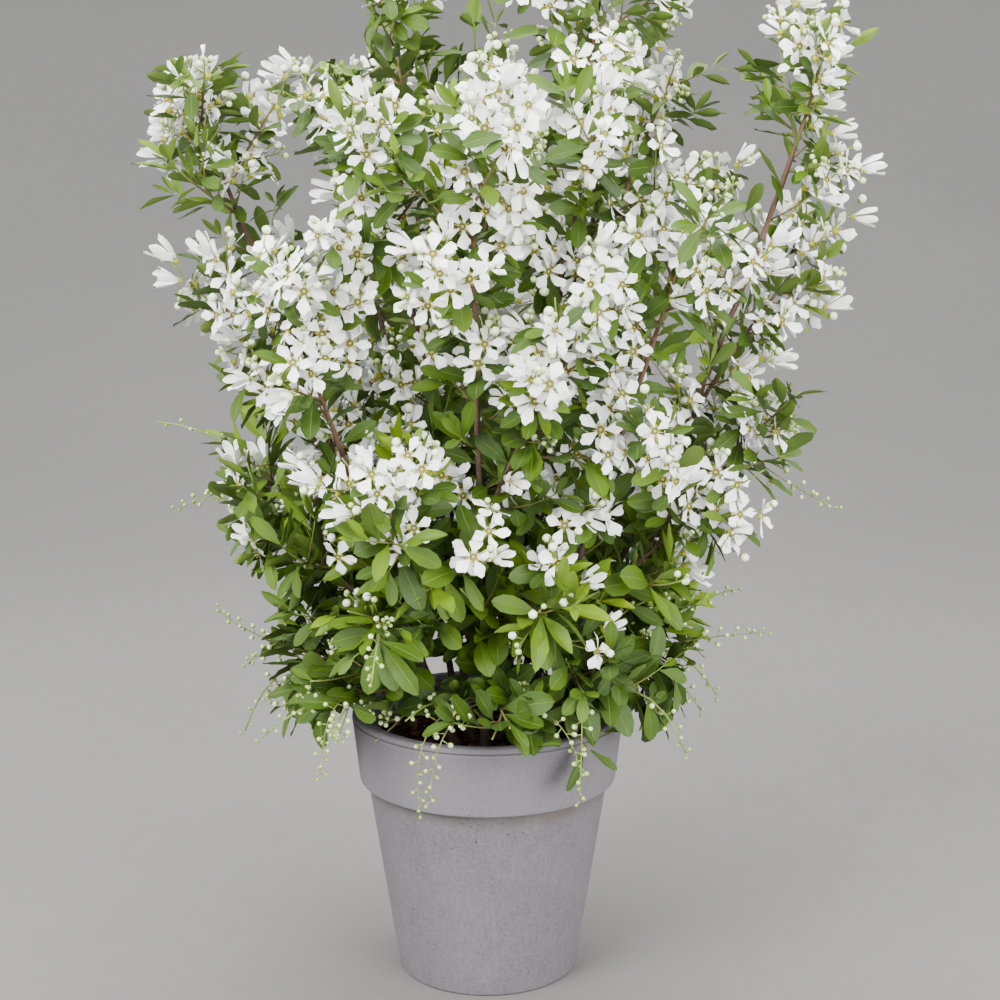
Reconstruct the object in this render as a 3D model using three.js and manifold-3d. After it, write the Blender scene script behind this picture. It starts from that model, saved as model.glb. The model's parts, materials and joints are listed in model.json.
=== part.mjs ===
import * as THREE from 'three';
import { mergeVertices } from 'three/addons/utils/BufferGeometryUtils.js';
import Module from 'manifold-3d';

// A flowering shrub with many stems in a round grey pot, in millimetres, +Z up.
// The origin is the centre of the pot's underside, and -Y faces the viewer.

const wasm = await Module();
wasm.setup();

// Driving dimensions of the pot and of the soil in it.
const pot = {
  height: 278,
  rimRadius: 140,
  rimBand: 68,
  rimTaper: 8,
  lipDrop: 4,
  wall: 13,
  shoulderRadius: 124,
  baseRadius: 93,
  baseEdge: 3,
  floor: 16,
  sides: 36,
  colour: 0x9a979d,
};
const soilDepthBelowRim = 34;
const soilTop = pot.height - soilDepthBelowRim;

// Touching pieces stay this far apart.
const gap = 0.3;

// Main stems. turn is the compass of the lean in degrees, from +X towards +Y. foot is the distance of the
// foot from the pot's axis, reach and top are where the stem's last twig ends, and bow is the share of the
// lean that is reached at half height. Each branch leaves its stem at a share of its height and ends at its
// own turn, reach and top. A branch with a bough has a limb before its spray, and another one is a spray from
// the stem on. bloom is the share of a spray's shoots that flower.
const stems = [
  {
    name: 'right_leader', turn: 3, foot: 40, reach: 340, top: 965, bow: 0.66, thick: 4.8, bloom: 0.75,
    branches: [
      { name: 'low', at: 0.12, turn: -8, reach: 185, top: 345, bloom: 0 },
      { name: 'mid', at: 0.16, turn: -5, reach: 290, top: 590, bloom: 0.7, bough: true },
      { name: 'high', at: 0.42, turn: 7, reach: 355, top: 770, bloom: 0.9, bough: true },
    ],
  },
  {
    name: 'right_front', turn: -42, foot: 38, reach: 255, top: 790, bow: 0.5, thick: 4.2, bloom: 0.85,
    branches: [
      { name: 'low', at: 0.12, turn: -47, reach: 205, top: 345, bloom: 0 },
      { name: 'mid', at: 0.16, turn: -24, reach: 262, top: 530, bloom: 0.65, bough: true },
    ],
  },
  {
    name: 'right_back', turn: 47, foot: 40, reach: 260, top: 930, bow: 0.48, thick: 4.2, bloom: 0.9,
    branches: [
      { name: 'low', at: 0.14, turn: 30, reach: 195, top: 370, bloom: 0.15 },
      { name: 'mid', at: 0.2, turn: 62, reach: 262, top: 640, bloom: 0.75, bough: true },
    ],
  },
  {
    name: 'middle_front', turn: -94, foot: 36, reach: 190, top: 860, bow: 0.46, thick: 4.2, bloom: 0.95,
    branches: [
      { name: 'low', at: 0.1, turn: -84, reach: 185, top: 320, bloom: 0 },
      { name: 'inner', at: 0.2, turn: -70, reach: 190, top: 430, bloom: 0.35 },
      { name: 'mid', at: 0.14, turn: -114, reach: 230, top: 545, bloom: 0.8, bough: true },
      { name: 'high', at: 0.38, turn: -68, reach: 225, top: 680, bloom: 0.95, bough: true },
    ],
  },
  {
    name: 'middle_top', turn: 14, foot: 16, reach: 125, top: 1058, bow: 0.4, thick: 4.6, bloom: 0.95,
    branches: [
      { name: 'low', at: 0.22, turn: -60, reach: 150, top: 540, bloom: 0.8 },
      { name: 'high', at: 0.42, turn: -56, reach: 180, top: 870, bloom: 0.95, bough: true },
    ],
  },
  {
    name: 'left_top', turn: 172, foot: 18, reach: 98, top: 1046, bow: 0.5, thick: 4.6, bloom: 0.45,
    branches: [
      { name: 'low', at: 0.24, turn: -132, reach: 150, top: 560, bloom: 0.7 },
      { name: 'high', at: 0.42, turn: -126, reach: 185, top: 850, bloom: 0.95, bough: true },
    ],
  },
  {
    name: 'left_arch', turn: 183, foot: 42, reach: 300, top: 935, bow: 0.5, thick: 4.6, bloom: 0.95,
    branches: [
      { name: 'low', at: 0.12, turn: 176, reach: 200, top: 320, bloom: 0 },
      { name: 'mid', at: 0.16, turn: 174, reach: 262, top: 545, bloom: 0.5, bough: true },
      { name: 'high', at: 0.36, turn: 190, reach: 295, top: 725, bloom: 0.9, bough: true },
    ],
  },
  {
    name: 'left_front', turn: -136, foot: 44, reach: 265, top: 745, bow: 0.52, thick: 4.2, bloom: 0.9,
    branches: [
      { name: 'low', at: 0.12, turn: -144, reach: 200, top: 320, bloom: 0 },
      { name: 'inner', at: 0.2, turn: -124, reach: 205, top: 420, bloom: 0.2 },
      { name: 'mid', at: 0.18, turn: -162, reach: 240, top: 500, bloom: 0.5, bough: true },
    ],
  },
  {
    name: 'left_back', turn: 132, foot: 40, reach: 260, top: 950, bow: 0.48, thick: 4.2, bloom: 0.9,
    branches: [
      { name: 'low', at: 0.14, turn: 142, reach: 215, top: 360, bloom: 0.15 },
      { name: 'mid', at: 0.2, turn: 117, reach: 262, top: 640, bloom: 0.75, bough: true },
    ],
  },
  {
    name: 'back', turn: 91, foot: 38, reach: 265, top: 880, bow: 0.48, thick: 4.2, bloom: 0.9,
    branches: [
      { name: 'low', at: 0.16, turn: 90, reach: 215, top: 375, bloom: 0.2 },
      { name: 'mid', at: 0.22, turn: 76, reach: 250, top: 570, bloom: 0.6, bough: true },
    ],
  },
];
const stemForm = { flare: 0.6, flareHeight: 9, sides: 5, steps: 7 };
const boughForm = { thick: 0.62, arch: 0.12, archAt: 0.5, sides: 4, steps: 3 };
const tipRadius = 2.6;

// The crown's outline: height, then how far it reaches to the left, to the right, and to the front and back.
const crown = [
  [230, 205, 190, 195],
  [300, 235, 212, 210],
  [400, 240, 240, 235],
  [500, 285, 305, 265],
  [600, 290, 345, 285],
  [700, 315, 380, 295],
  [800, 350, 395, 295],
  [900, 345, 395, 285],
  [960, 325, 390, 240],
  [1020, 190, 300, 170],
  [1060, 130, 160, 110],
  [1085, 30, 60, 30],
];

// One rule grows every spray of twigs, leaves and blossom.
const spray = {
  reach: 118,
  room: 6,
  sideShoots: 5,
  leaderSteps: 3,
  openLow: 66,
  openHigh: 34,
  longLow: 1.06,
  longHigh: 0.62,
  lift: 0.16,
  shootRadius: 1.2,
  shootTip: 1.5,
  clear: 1.5,
  inset: 0.86,
  budShare: 0.12,
  goldenAngle: 137.5,
};
const leaf = { length: 98, width: 50, fold: 3.6, widestAt: 0.46, open: 50, leastRoll: 20, mostRoll: 70 };
const flower = { radius: 36, notch: 0.58, depth: 12, dome: 4.8, droop: 2, petals: 5, aside: 0.5 };
const bud = { radius: 6 };
// How often a leaf or flower is tried at another turn round its shoot, how far apart in degrees, and how
// much smaller each time.
const tries = { count: 7, turn: 100, shrink: 0.94 };

const bark = new THREE.MeshStandardMaterial({ color: 0x6b4a35, roughness: 0.85, metalness: 0 });
const greenery = new THREE.MeshStandardMaterial({ color: 0x5f8f2e, roughness: 0.6, metalness: 0 });
const blossom = new THREE.MeshStandardMaterial({ color: 0xdde6cc, roughness: 0.6, metalness: 0 });
const clay = new THREE.MeshStandardMaterial({ color: pot.colour, roughness: 0.9, metalness: 0 });
const earth = new THREE.MeshStandardMaterial({ color: 0x32231a, roughness: 1, metalness: 0 });

const up = new THREE.Vector3(0, 0, 1);
const toRadians = THREE.MathUtils.degToRad;
const mix = THREE.MathUtils.lerp;

// A point or direction from its compass turn in degrees, distance from the axis and height.
function polar(turn, distance, height) {
  const angle = toRadians(turn);
  return new THREE.Vector3(distance * Math.cos(angle), distance * Math.sin(angle), height);
}

// The same numbers from 0 to 1 each time, from a seed.
function randomFrom(seed) {
  let state = (seed * 2654435761) % 4294967296;
  return () => {
    state = (state * 1664525 + 1013904223) % 4294967296;
    return state / 4294967296;
  };
}

// A closed solid from a geometry.
function solidOf(geometry) {
  const bare = new THREE.BufferGeometry().setAttribute('position', geometry.getAttribute('position'));
  bare.setIndex(geometry.index);
  const merged = mergeVertices(bare);
  return new wasm.Manifold(
    new wasm.Mesh({
      numProp: 3,
      vertProperties: merged.getAttribute('position').array,
      triVerts: new Uint32Array(merged.index.array),
    }),
  );
}

function geometryOf(solid) {
  const mesh = solid.getMesh();
  const geometry = new THREE.BufferGeometry();
  geometry.setAttribute('position', new THREE.BufferAttribute(mesh.vertProperties, 3));
  geometry.setIndex(new THREE.BufferAttribute(mesh.triVerts, 1));
  geometry.computeVertexNormals();
  return geometry;
}

function indexed(points, faces) {
  const geometry = new THREE.BufferGeometry();
  const flat = points.flatMap((p) => [p.x, p.y, p.z]);
  geometry.setAttribute('position', new THREE.Float32BufferAttribute(flat, 3));
  geometry.setIndex(faces);
  return geometry;
}

// The one direction that is square to a flat curve all along it.
function sideOf(curve) {
  const start = curve.getPoint(0);
  const first = curve.getPoint(0.5).sub(start);
  const side = first.clone().cross(curve.getPoint(1).sub(start));
  if (side.length() < 0.01 * first.lengthSq()) side.crossVectors(first, new THREE.Vector3(0.3, 1, 0.2));
  return side.normalize();
}

// A tapering limb along a curve. radiusAt gives the radius at a share of the curve. A limb with a level
// foot has its first ring cut flat.
function limbGeometry(curve, from, to, steps, sides, radiusAt, levelFoot = false) {
  const side = sideOf(curve);
  const points = [];
  const faces = [];
  for (let i = 0; i <= steps; i++) {
    const t = mix(from, to, i / steps);
    const centre = curve.getPoint(t);
    const along = curve.getTangent(t);
    const across = along.clone().cross(side);
    for (let j = 0; j < sides; j++) {
      const angle = (2 * Math.PI * j) / sides;
      const offset = side.clone().multiplyScalar(Math.cos(angle)).addScaledVector(across, Math.sin(angle));
      const point = centre.clone().addScaledVector(offset, radiusAt(t));
      if (levelFoot && i === 0) point.addScaledVector(along, (centre.z - point.z) / along.z);
      points.push(point);
    }
  }
  for (let i = 0; i < steps; i++) {
    for (let j = 0; j < sides; j++) {
      const a = i * sides + j;
      const b = i * sides + ((j + 1) % sides);
      faces.push(a, b, b + sides, a, b + sides, a + sides);
    }
  }
  const end = steps * sides;
  for (let j = 1; j < sides - 1; j++) faces.push(0, j + 1, j, end, end + j, end + j + 1);
  return indexed(points, faces);
}

// A leaf folded a little along its middle, as a closed wedge of four faces.
function leafGeometry({ base, direction, normal, size }) {
  const side = normal.clone().cross(direction);
  const at = (along, across, rise) =>
    base
      .clone()
      .addScaledVector(direction, along * leaf.length * size)
      .addScaledVector(side, across * leaf.width * size)
      .addScaledVector(normal, rise * size);
  const { widestAt, fold } = leaf;
  return indexed(
    [at(0, 0, 0), at(widestAt, -0.5, fold), at(1, 0, 0), at(widestAt, 0.5, fold)],
    [0, 1, 3, 2, 3, 1, 0, 2, 1, 0, 3, 2],
  );
}

// A flower as a domed five-pointed star in front of a short stalk with three corners.
function flowerGeometry({ base, facing, spin, size }) {
  const level = Math.abs(facing.z) > 0.9 ? polar(0, 1, 0) : up;
  const side = new THREE.Vector3().crossVectors(facing, level).normalize();
  const across = facing.clone().cross(side);
  const count = 2 * flower.petals;
  const points = [];
  for (let i = 0; i < count; i++) {
    const angle = spin + (2 * Math.PI * i) / count;
    const radius = flower.radius * size * (i % 2 ? flower.notch : 1);
    const point = base.clone().addScaledVector(facing, flower.depth - (i % 2 ? 0 : flower.droop));
    point.addScaledVector(side, radius * Math.cos(angle)).addScaledVector(across, radius * Math.sin(angle));
    points.push(point);
  }
  points.push(base.clone().addScaledVector(facing, flower.depth + flower.dome), base);
  const faces = [];
  for (let i = 0; i < count; i++) faces.push(count, i, (i + 1) % count);
  const stalk = [1, 5, 7];
  for (let i = 0; i < count; i += 2) faces.push((i + 1) % count, i, (i + count - 1) % count);
  faces.push(3, 1, 5, 9, 7, 1);
  stalk.forEach((corner, i) => faces.push(count + 1, stalk[(i + 1) % 3], corner));
  return indexed(points, faces);
}

function potProfile() {
  const rimFoot = pot.height - pot.lipDrop - pot.rimBand;
  const inner = pot.rimRadius - pot.wall;
  return [
    [0, 0],
    [pot.baseRadius - pot.baseEdge, 0],
    [pot.baseRadius, pot.baseEdge],
    [pot.shoulderRadius, rimFoot],
    [pot.rimRadius - pot.rimTaper, rimFoot + 1],
    [pot.rimRadius, pot.height - pot.lipDrop],
    [pot.rimRadius - pot.lipDrop, pot.height],
    [inner + 2, pot.height],
    [inner, pot.height - 3],
    [innerRadiusAt(pot.floor), pot.floor],
    [0, pot.floor],
  ];
}

function innerRadiusAt(z) {
  const low = pot.baseRadius - pot.wall;
  return mix(low, pot.rimRadius - pot.wall, z / (pot.height - 3));
}

function turned(profile) {
  const points = profile.map(([radius, height]) => new THREE.Vector2(radius, height));
  return new THREE.LatheGeometry(points, pot.sides).rotateX(Math.PI / 2);
}

function soilProfile() {
  const low = pot.floor + gap;
  return [
    [0, low],
    [innerRadiusAt(low) - gap, low],
    [innerRadiusAt(soilTop) - gap, soilTop],
    [0, soilTop],
  ];
}

// A stem's whole line, from the soil to the tip of its last twig.
function stemCurve(stem) {
  const foot = polar(stem.turn, stem.foot, soilTop + gap);
  const bend = polar(stem.turn, mix(stem.foot, stem.reach, stem.bow), mix(soilTop, stem.top, 0.5));
  return new THREE.QuadraticBezierCurve3(foot, bend, polar(stem.turn, stem.reach, stem.top));
}

// A branch's whole line, from its stem's middle to the tip of its last twig, with an arch outward and down.
function branchCurve(stemLine, branch) {
  const root = stemLine.getPoint(branch.at);
  const tip = polar(branch.turn, branch.reach, branch.top);
  const span = root.distanceTo(tip);
  const bend = root.clone().lerp(tip, boughForm.archAt).addScaledVector(up, boughForm.arch * span);
  return new THREE.QuadraticBezierCurve3(root, bend, tip);
}

// Every line of the plant with its radius rule. Each line ends in a spray, around the centre kept here.
function plantLines() {
  const lines = [];
  for (const stem of stems) {
    const curve = stemCurve(stem);
    const height = stem.top - soilTop;
    const stemLine = {
      name: `stem_${stem.name}`,
      spray: `spray_${stem.name}_tip`,
      curve,
      radiusAt: (t) =>
        mix(stem.thick, tipRadius, t) * (1 + stemForm.flare * Math.exp((-t * height) / stemForm.flareHeight)),
      bloom: stem.bloom,
      limb: true,
    };
    lines.push(stemLine);
    for (const branch of stem.branches) {
      const thick = stemLine.radiusAt(branch.at) * boughForm.thick;
      lines.push({
        name: `bough_${stem.name}_${branch.name}`,
        spray: `spray_${stem.name}_${branch.name}`,
        curve: branchCurve(curve, branch),
        radiusAt: (t) => mix(thick, tipRadius, t),
        bloom: branch.bloom,
        limb: Boolean(branch.bough),
        parent: stemLine,
      });
    }
  }
  lines.forEach((line, i) => {
    line.length = line.curve.getLength();
    line.centre = line.curve.getPointAt(Math.max(0.25, 1 - (0.8 * spray.reach) / line.length));
    line.seed = i + 1;
  });
  return lines;
}

// How far a point lies inside a spray's own space, which ends halfway to each neighbour's centre.
function roomAt(line, point) {
  let room = Infinity;
  for (const other of lines) {
    if (other === line) continue;
    const across = other.centre.clone().sub(line.centre);
    const middle = line.centre.clone().lerp(other.centre, 0.5);
    room = Math.min(room, middle.sub(point).dot(across) / across.length());
  }
  return room;
}

// The share of the line where it enters its spray's space.
function entryOf(line) {
  const steps = 60;
  const furthest = Math.max(0.06, 1 - (1.75 * spray.reach) / line.length);
  let entry = 0.8;
  for (let i = 0; i <= steps; i++) {
    const t = 0.8 * (1 - i / steps);
    if (t < furthest || roomAt(line, line.curve.getPoint(t)) < spray.room) break;
    entry = t;
  }
  return entry;
}

// Whether a point is inside the crown's outline, an ellipse at each height, or inside a share of it.
function inCrown({ x, y, z }, part = 1) {
  let i = 1;
  while (i < crown.length - 1 && z > crown[i][0]) i++;
  const [low, high] = [crown[i - 1], crown[i]];
  const share = (z - low[0]) / (high[0] - low[0]);
  const wide = x < 0 ? mix(low[1], high[1], share) : mix(low[2], high[2], share);
  return Math.hypot(x / wide, y / mix(low[3], high[3], share)) < part;
}

// Points along every line as far as its entry, with the limb's radius there.
function pointsAlongLimbs() {
  return lines.flatMap((line) => {
    const count = Math.ceil((line.length * line.entry) / 4);
    return Array.from({ length: count + 1 }, (_, i) => {
      const t = (line.entry * i) / count;
      return { line, point: line.curve.getPoint(t), radius: line.radiusAt(t) };
    });
  });
}

// Whether a shoot keeps to its spray's space, clear of the pot and of every limb but its own leader.
function isFree(line, curve, limbPoints) {
  const steps = 28;
  for (let i = 0; i <= steps; i++) {
    const point = curve.getPoint(i / steps);
    if (roomAt(line, point) < spray.room || !inCrown(point, spray.inset)) return false;
    if (point.z < pot.height + 4 && Math.hypot(point.x, point.y) < pot.rimRadius + 4) return false;
    for (const near of limbPoints) {
      if (near.line === line && (!line.limb || i < 4)) continue;
      const apart = near.radius + spray.shootRadius + spray.clear;
      if (near.point.distanceToSquared(point) < apart * apart) return false;
    }
  }
  return true;
}

// A curve drawn as straight pieces between points at equal steps.
class StraightPieces extends THREE.Curve {
  constructor(curve, from, steps) {
    super();
    this.points = Array.from({ length: steps + 1 }, (_, i) => curve.getPoint(mix(from, 1, i / steps)));
  }

  getPoint(t) {
    const last = this.points.length - 2;
    const i = Math.max(0, Math.min(last, Math.floor(t * (last + 1))));
    return this.points[i].clone().lerp(this.points[i + 1], t * (last + 1) - i);
  }
}

// A direction from a line at a share of it, opening by an angle at a turn round the line.
function directionFrom(curve, t, turn, open) {
  const along = curve.getTangent(t);
  const side = sideOf(curve);
  const outward = side
    .clone()
    .multiplyScalar(Math.cos(turn))
    .addScaledVector(along.clone().cross(side), Math.sin(turn));
  return along.multiplyScalar(Math.cos(open)).addScaledVector(outward, Math.sin(open));
}

// A straight shoot from its root in a direction, lifted at its tip.
function shootLine(root, direction, length) {
  const tip = root.clone().addScaledVector(direction, length).addScaledVector(up, spray.lift * length);
  return new THREE.LineCurve3(root, tip);
}

// The shoots of one spray: the leader carries on from the limb, and side shoots leave it by the golden angle,
// each as long as its space allows.
function growShoots(line, limbPoints) {
  const random = randomFrom(line.seed);
  const start = line.limb ? line.entry + (2 * gap) / line.length : 0;
  const curve = new StraightPieces(line.curve, start, spray.leaderSteps);
  const leaderRadius = (t) => line.radiusAt(mix(start, 1, t));
  const shootRadius = (t) => mix(spray.shootRadius, spray.shootTip, t);
  const shoots = [{ curve, leader: true, flowers: random() < line.bloom, radiusAt: leaderRadius }];
  const firstTurn = 360 * random();
  for (let i = 0; i < spray.sideShoots; i++) {
    const share = (i + 0.35) / spray.sideShoots;
    const t = 0.08 + 0.84 * share;
    const turn = toRadians(firstTurn + i * spray.goldenAngle + 30 * (random() - 0.5));
    const open = toRadians(mix(spray.openLow, spray.openHigh, share));
    const full = spray.reach * mix(spray.longLow, spray.longHigh, share) * (0.85 + 0.3 * random());
    const flowers = random() < line.bloom;
    const direction = directionFrom(curve, t, turn, open);
    const length = [1, 0.8, 0.62, 0.46, 0.34]
      .map((part) => part * full)
      .find((long) => isFree(line, shootLine(curve.getPoint(t), direction, long), limbPoints));
    if (!length) continue;
    shoots.push({ curve: shootLine(curve.getPoint(t), direction, length), flowers, radiusAt: shootRadius });
  }
  return shoots;
}

// A leaf's place: its root sunk in the shoot, standing off at an angle, its face turned up and rolled aside.
function leafOn(shoot, t, turn, roll, size) {
  const direction = directionFrom(shoot.curve, t, turn, toRadians(leaf.open) * (t > 0.9 ? 0.4 : 1));
  const normal = up.clone().addScaledVector(direction, -direction.z).normalize();
  normal.applyAxisAngle(direction, roll);
  const base = shoot.curve.getPoint(t).addScaledVector(direction, -0.1 * spray.shootTip);
  return leafGeometry({ base, direction, normal, size });
}

// A flower's place: facing away from the middle of the crown, square to the shoot, or along it at the tip.
function flowerOn(shoot, t, turn, spin, size) {
  const along = shoot.curve.getTangent(t);
  const point = shoot.curve.getPoint(t);
  const facing = directionFrom(shoot.curve, t, turn, t > 0.9 ? 0.15 : 0.5 * Math.PI);
  if (t < 0.9) {
    const away = polar(Math.atan2(point.y, point.x) * (180 / Math.PI), 1, 0.4);
    facing.multiplyScalar(flower.aside).add(away.addScaledVector(along, -away.dot(along))).normalize();
  }
  return flowerGeometry({ base: point.addScaledVector(facing, -0.4 * spray.shootTip), facing, spin, size });
}

// Leaves, flowers and buds of one shoot, each as a list of places to try, by the share of the shoot's length.
function dressShoot(shoot, random) {
  const golden = toRadians(spray.goldenAngle);
  const first = 2 * Math.PI * random();
  const places = [];
  const leafShares = shoot.flowers ? [0.24, 0.5] : [0.22, 0.42, 0.6, 0.78, 0.97];
  if (shoot.leader) leafShares.push(0.34);
  leafShares.forEach((share, i) => {
    const size = mix(0.85, 1.12, random());
    const roll = toRadians(mix(leaf.leastRoll, leaf.mostRoll, random()) * (random() < 0.5 ? 1 : -1));
    places.push((turn, small) => leafOn(shoot, share, first + i * golden + turn, roll, size * small));
  });
  if (shoot.flowers) {
    const flowerShares = shoot.leader ? [0.66, 0.86] : [0.72];
    if (random() < spray.budShare) {
      const { x, y, z } = shoot.curve.getPoint(1);
      places.push(() => new THREE.OctahedronGeometry(bud.radius).translate(x, y, z));
    } else flowerShares.push(1);
    flowerShares.forEach((share, i) => {
      const start = first + (2 + i) * golden;
      const spin = 2 * Math.PI * random();
      const size = mix(0.88, 1.1, random());
      places.push((turn, small) => flowerOn(shoot, share, start + turn, spin, size * small));
    });
  }
  return places;
}

function keepsToSpace(line, geometry) {
  const places = geometry.getAttribute('position');
  const point = new THREE.Vector3();
  for (let i = 0; i < places.count; i++) {
    if (roomAt(line, point.fromBufferAttribute(places, i)) < 2 * gap || !inCrown(point)) return false;
  }
  return true;
}

function touches(solid, others) {
  return others.some((other) => !solid.intersect(other).isEmpty());
}

// Whether each edge of a solid still joins two faces when its points are rounded to parts of a millimetre.
function staysClosed(solid, parts) {
  const { vertProperties, triVerts } = solid.getMesh();
  const places = new Map();
  const placeOf = (i) => {
    const key = [0, 1, 2].map((axis) => Math.round(vertProperties[3 * i + axis] * parts)).join();
    if (!places.has(key)) places.set(key, places.size);
    return places.get(key);
  };
  const edges = new Map();
  for (let i = 0; i < triVerts.length; i += 3) {
    const [a, b, c] = [0, 1, 2].map((corner) => placeOf(triVerts[i + corner]));
    if (a === b || b === c || c === a) continue;
    for (const [from, to] of [[a, b], [b, c], [c, a]]) {
      const key = from < to ? `${from},${to}` : `${to},${from}`;
      edges.set(key, (edges.get(key) ?? 0) + 1);
    }
  }
  return [...edges.values()].every((faces) => faces === 2);
}

// The largest body of a union, without loose scraps or the walls of sealed hollows.
function largestBody(solid) {
  return solid.decompose().reduce((best, body) => (body.volume() > best.volume() ? body : best));
}

// One closed spray. A leaf or flower that would leave the spray's space, or would touch a limb, the pot,
// another shoot or another leaf, is skipped.
function sprayGeometry(line, limbPoints, guards, vessel) {
  const random = randomFrom(line.seed + 500);
  const obstacles = [...vessel];
  for (const [other, guard] of guards) if (line.limb || other !== line) obstacles.push(guard);
  const shoots = growShoots(line, limbPoints);
  for (const shoot of shoots) {
    const steps = shoot.leader ? spray.leaderSteps : 1;
    shoot.twig = solidOf(limbGeometry(shoot.curve, 0, 1, steps, 3, shoot.radiusAt));
    if (shoot.leader && !line.limb) {
      shoot.twig = largestBody(shoot.twig.subtract(limbSolid(line.parent, 1.5 * gap)));
    }
  }
  const grown = shoots.filter((shoot) => shoot.leader || !touches(shoot.twig, obstacles));
  let whole = grown.map(({ twig }) => twig).reduce((joined, twig) => joined.add(twig));
  const placed = [];
  for (const shoot of grown) {
    const others = grown.filter((other) => other !== shoot).map(({ twig }) => twig);
    for (const place of dressShoot(shoot, random)) {
      for (let k = 0; k < tries.count; k++) {
        const piece = place(k * toRadians(tries.turn), tries.shrink ** k);
        if (!keepsToSpace(line, piece)) continue;
        const solid = solidOf(piece);
        if (touches(solid, obstacles) || touches(solid, others) || touches(solid, placed)) continue;
        const joined = largestBody(whole.add(solid));
        if (!staysClosed(joined, 1000) || !staysClosed(joined, 10000)) continue;
        placed.push(solid);
        whole = joined;
        break;
      }
    }
  }
  return geometryOf(whole);
}

// The limb from its root to where its spray takes over, thicker by an extra radius.
function limbSolid(line, extra) {
  const form = line.parent ? boughForm : stemForm;
  const radiusAt = (t) => line.radiusAt(t) + extra;
  return solidOf(limbGeometry(line.curve, 0, line.entry, form.steps, form.sides, radiusAt, !line.parent));
}

function named(name, geometry, material) {
  const mesh = new THREE.Mesh(geometry, material);
  mesh.name = name;
  return mesh;
}

const lines = plantLines();
for (const line of lines) line.entry = entryOf(line);
const limbPoints = pointsAlongLimbs();

const shrub = new THREE.Group();
shrub.name = 'potted_shrub';
const potGeometry = turned(potProfile());
const soilGeometry = turned(soilProfile());
shrub.add(named('pot', potGeometry, clay), named('soil', soilGeometry, earth));

for (const line of lines.filter(({ limb }) => limb)) {
  let limb = limbSolid(line, 0);
  if (line.parent) limb = largestBody(limb.subtract(limbSolid(line.parent, 1.5 * gap)));
  shrub.add(named(line.name, geometryOf(limb), bark));
}

const guards = lines.map((line) => [line, limbSolid(line, 1.5 * gap)]);
const vessel = [solidOf(potGeometry), solidOf(soilGeometry)];
for (const line of lines) {
  const material = line.bloom < 0.5 ? greenery : blossom;
  shrub.add(named(line.spray, sprayGeometry(line, limbPoints, guards, vessel), material));
}

export default shrub;
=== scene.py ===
import itertools
import json
import math

import bpy
import numpy as np
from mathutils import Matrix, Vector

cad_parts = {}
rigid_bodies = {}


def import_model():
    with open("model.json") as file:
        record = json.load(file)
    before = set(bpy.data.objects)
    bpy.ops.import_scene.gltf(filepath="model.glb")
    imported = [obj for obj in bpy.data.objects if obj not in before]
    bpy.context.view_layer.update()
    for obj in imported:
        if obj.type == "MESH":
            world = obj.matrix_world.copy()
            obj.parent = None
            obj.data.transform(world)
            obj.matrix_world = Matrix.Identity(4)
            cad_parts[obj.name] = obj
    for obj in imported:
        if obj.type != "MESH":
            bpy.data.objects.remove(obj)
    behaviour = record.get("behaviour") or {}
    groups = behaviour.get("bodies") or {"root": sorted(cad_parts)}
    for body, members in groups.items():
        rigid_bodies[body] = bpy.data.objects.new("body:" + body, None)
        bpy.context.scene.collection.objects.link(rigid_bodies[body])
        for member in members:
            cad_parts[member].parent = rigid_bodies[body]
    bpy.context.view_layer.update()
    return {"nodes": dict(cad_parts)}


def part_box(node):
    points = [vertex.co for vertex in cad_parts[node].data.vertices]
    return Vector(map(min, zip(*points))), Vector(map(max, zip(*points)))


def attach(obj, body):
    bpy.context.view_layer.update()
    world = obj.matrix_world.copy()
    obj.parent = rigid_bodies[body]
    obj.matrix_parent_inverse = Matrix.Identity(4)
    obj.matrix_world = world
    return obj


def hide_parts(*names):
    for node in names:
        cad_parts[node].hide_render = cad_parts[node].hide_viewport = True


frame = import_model()
print("frame loaded with", len(frame["nodes"]), "nodes")

mm = 0.001  # the plant and the pot are measured in millimetres, the scene in metres
fullTurn = 2 * math.pi
up = np.array([0.0, 0.0, 1.0])


# camera, lamps and sky

view = {"place": (0.013, -1.976, 0.892), "tilt": 78.67, "lens": 71.6, "sensor": 36}
lamps = {
    "keyLight": {"place": (-1.9, -2.1, 2.5), "aim": (0, 0, 0.55), "size": 1.8, "power": 275},
    "fillLight": {"place": (1.9, -2.3, 1.2), "aim": (0, 0, 0.5), "size": 2.2, "power": 160},
    "topLight": {"place": (0.2, 0.5, 3.0), "aim": (0, 0, 0.5), "size": 2.4, "power": 168},
}
sky = {"colour": (0.965, 0.98, 1.0, 1), "level": 2.75}


def linkObject(name, data):
    made = bpy.data.objects.new(name, data)
    bpy.context.scene.collection.objects.link(made)
    return made


def aimAt(thing, target):
    way = np.array(target, float) - np.array(thing.location[:], float)
    flat = math.hypot(way[0], way[1])
    thing.rotation_euler = (math.atan2(flat, -way[2]), 0, math.atan2(-way[0], way[1]))


def lightScene():
    camera = linkObject("camera", bpy.data.cameras.new("camera"))
    camera.location = view["place"]
    camera.rotation_euler = (math.radians(view["tilt"]), 0, 0)
    camera.data.lens = view["lens"]
    camera.data.sensor_width = view["sensor"]
    bpy.context.scene.camera = camera
    for name, lamp in lamps.items():
        light = linkObject(name, bpy.data.lights.new(name, "AREA"))
        light.location = lamp["place"]
        light.data.size = lamp["size"]
        light.data.energy = lamp["power"]
        aimAt(light, lamp["aim"])
    world = bpy.data.worlds.new("paleSky")
    world.use_nodes = True
    glow = world.node_tree.nodes["Background"].inputs
    glow["Color"].default_value, glow["Strength"].default_value = sky["colour"], sky["level"]
    bpy.context.scene.world = world


lightScene()


# helpers for node trees

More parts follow.
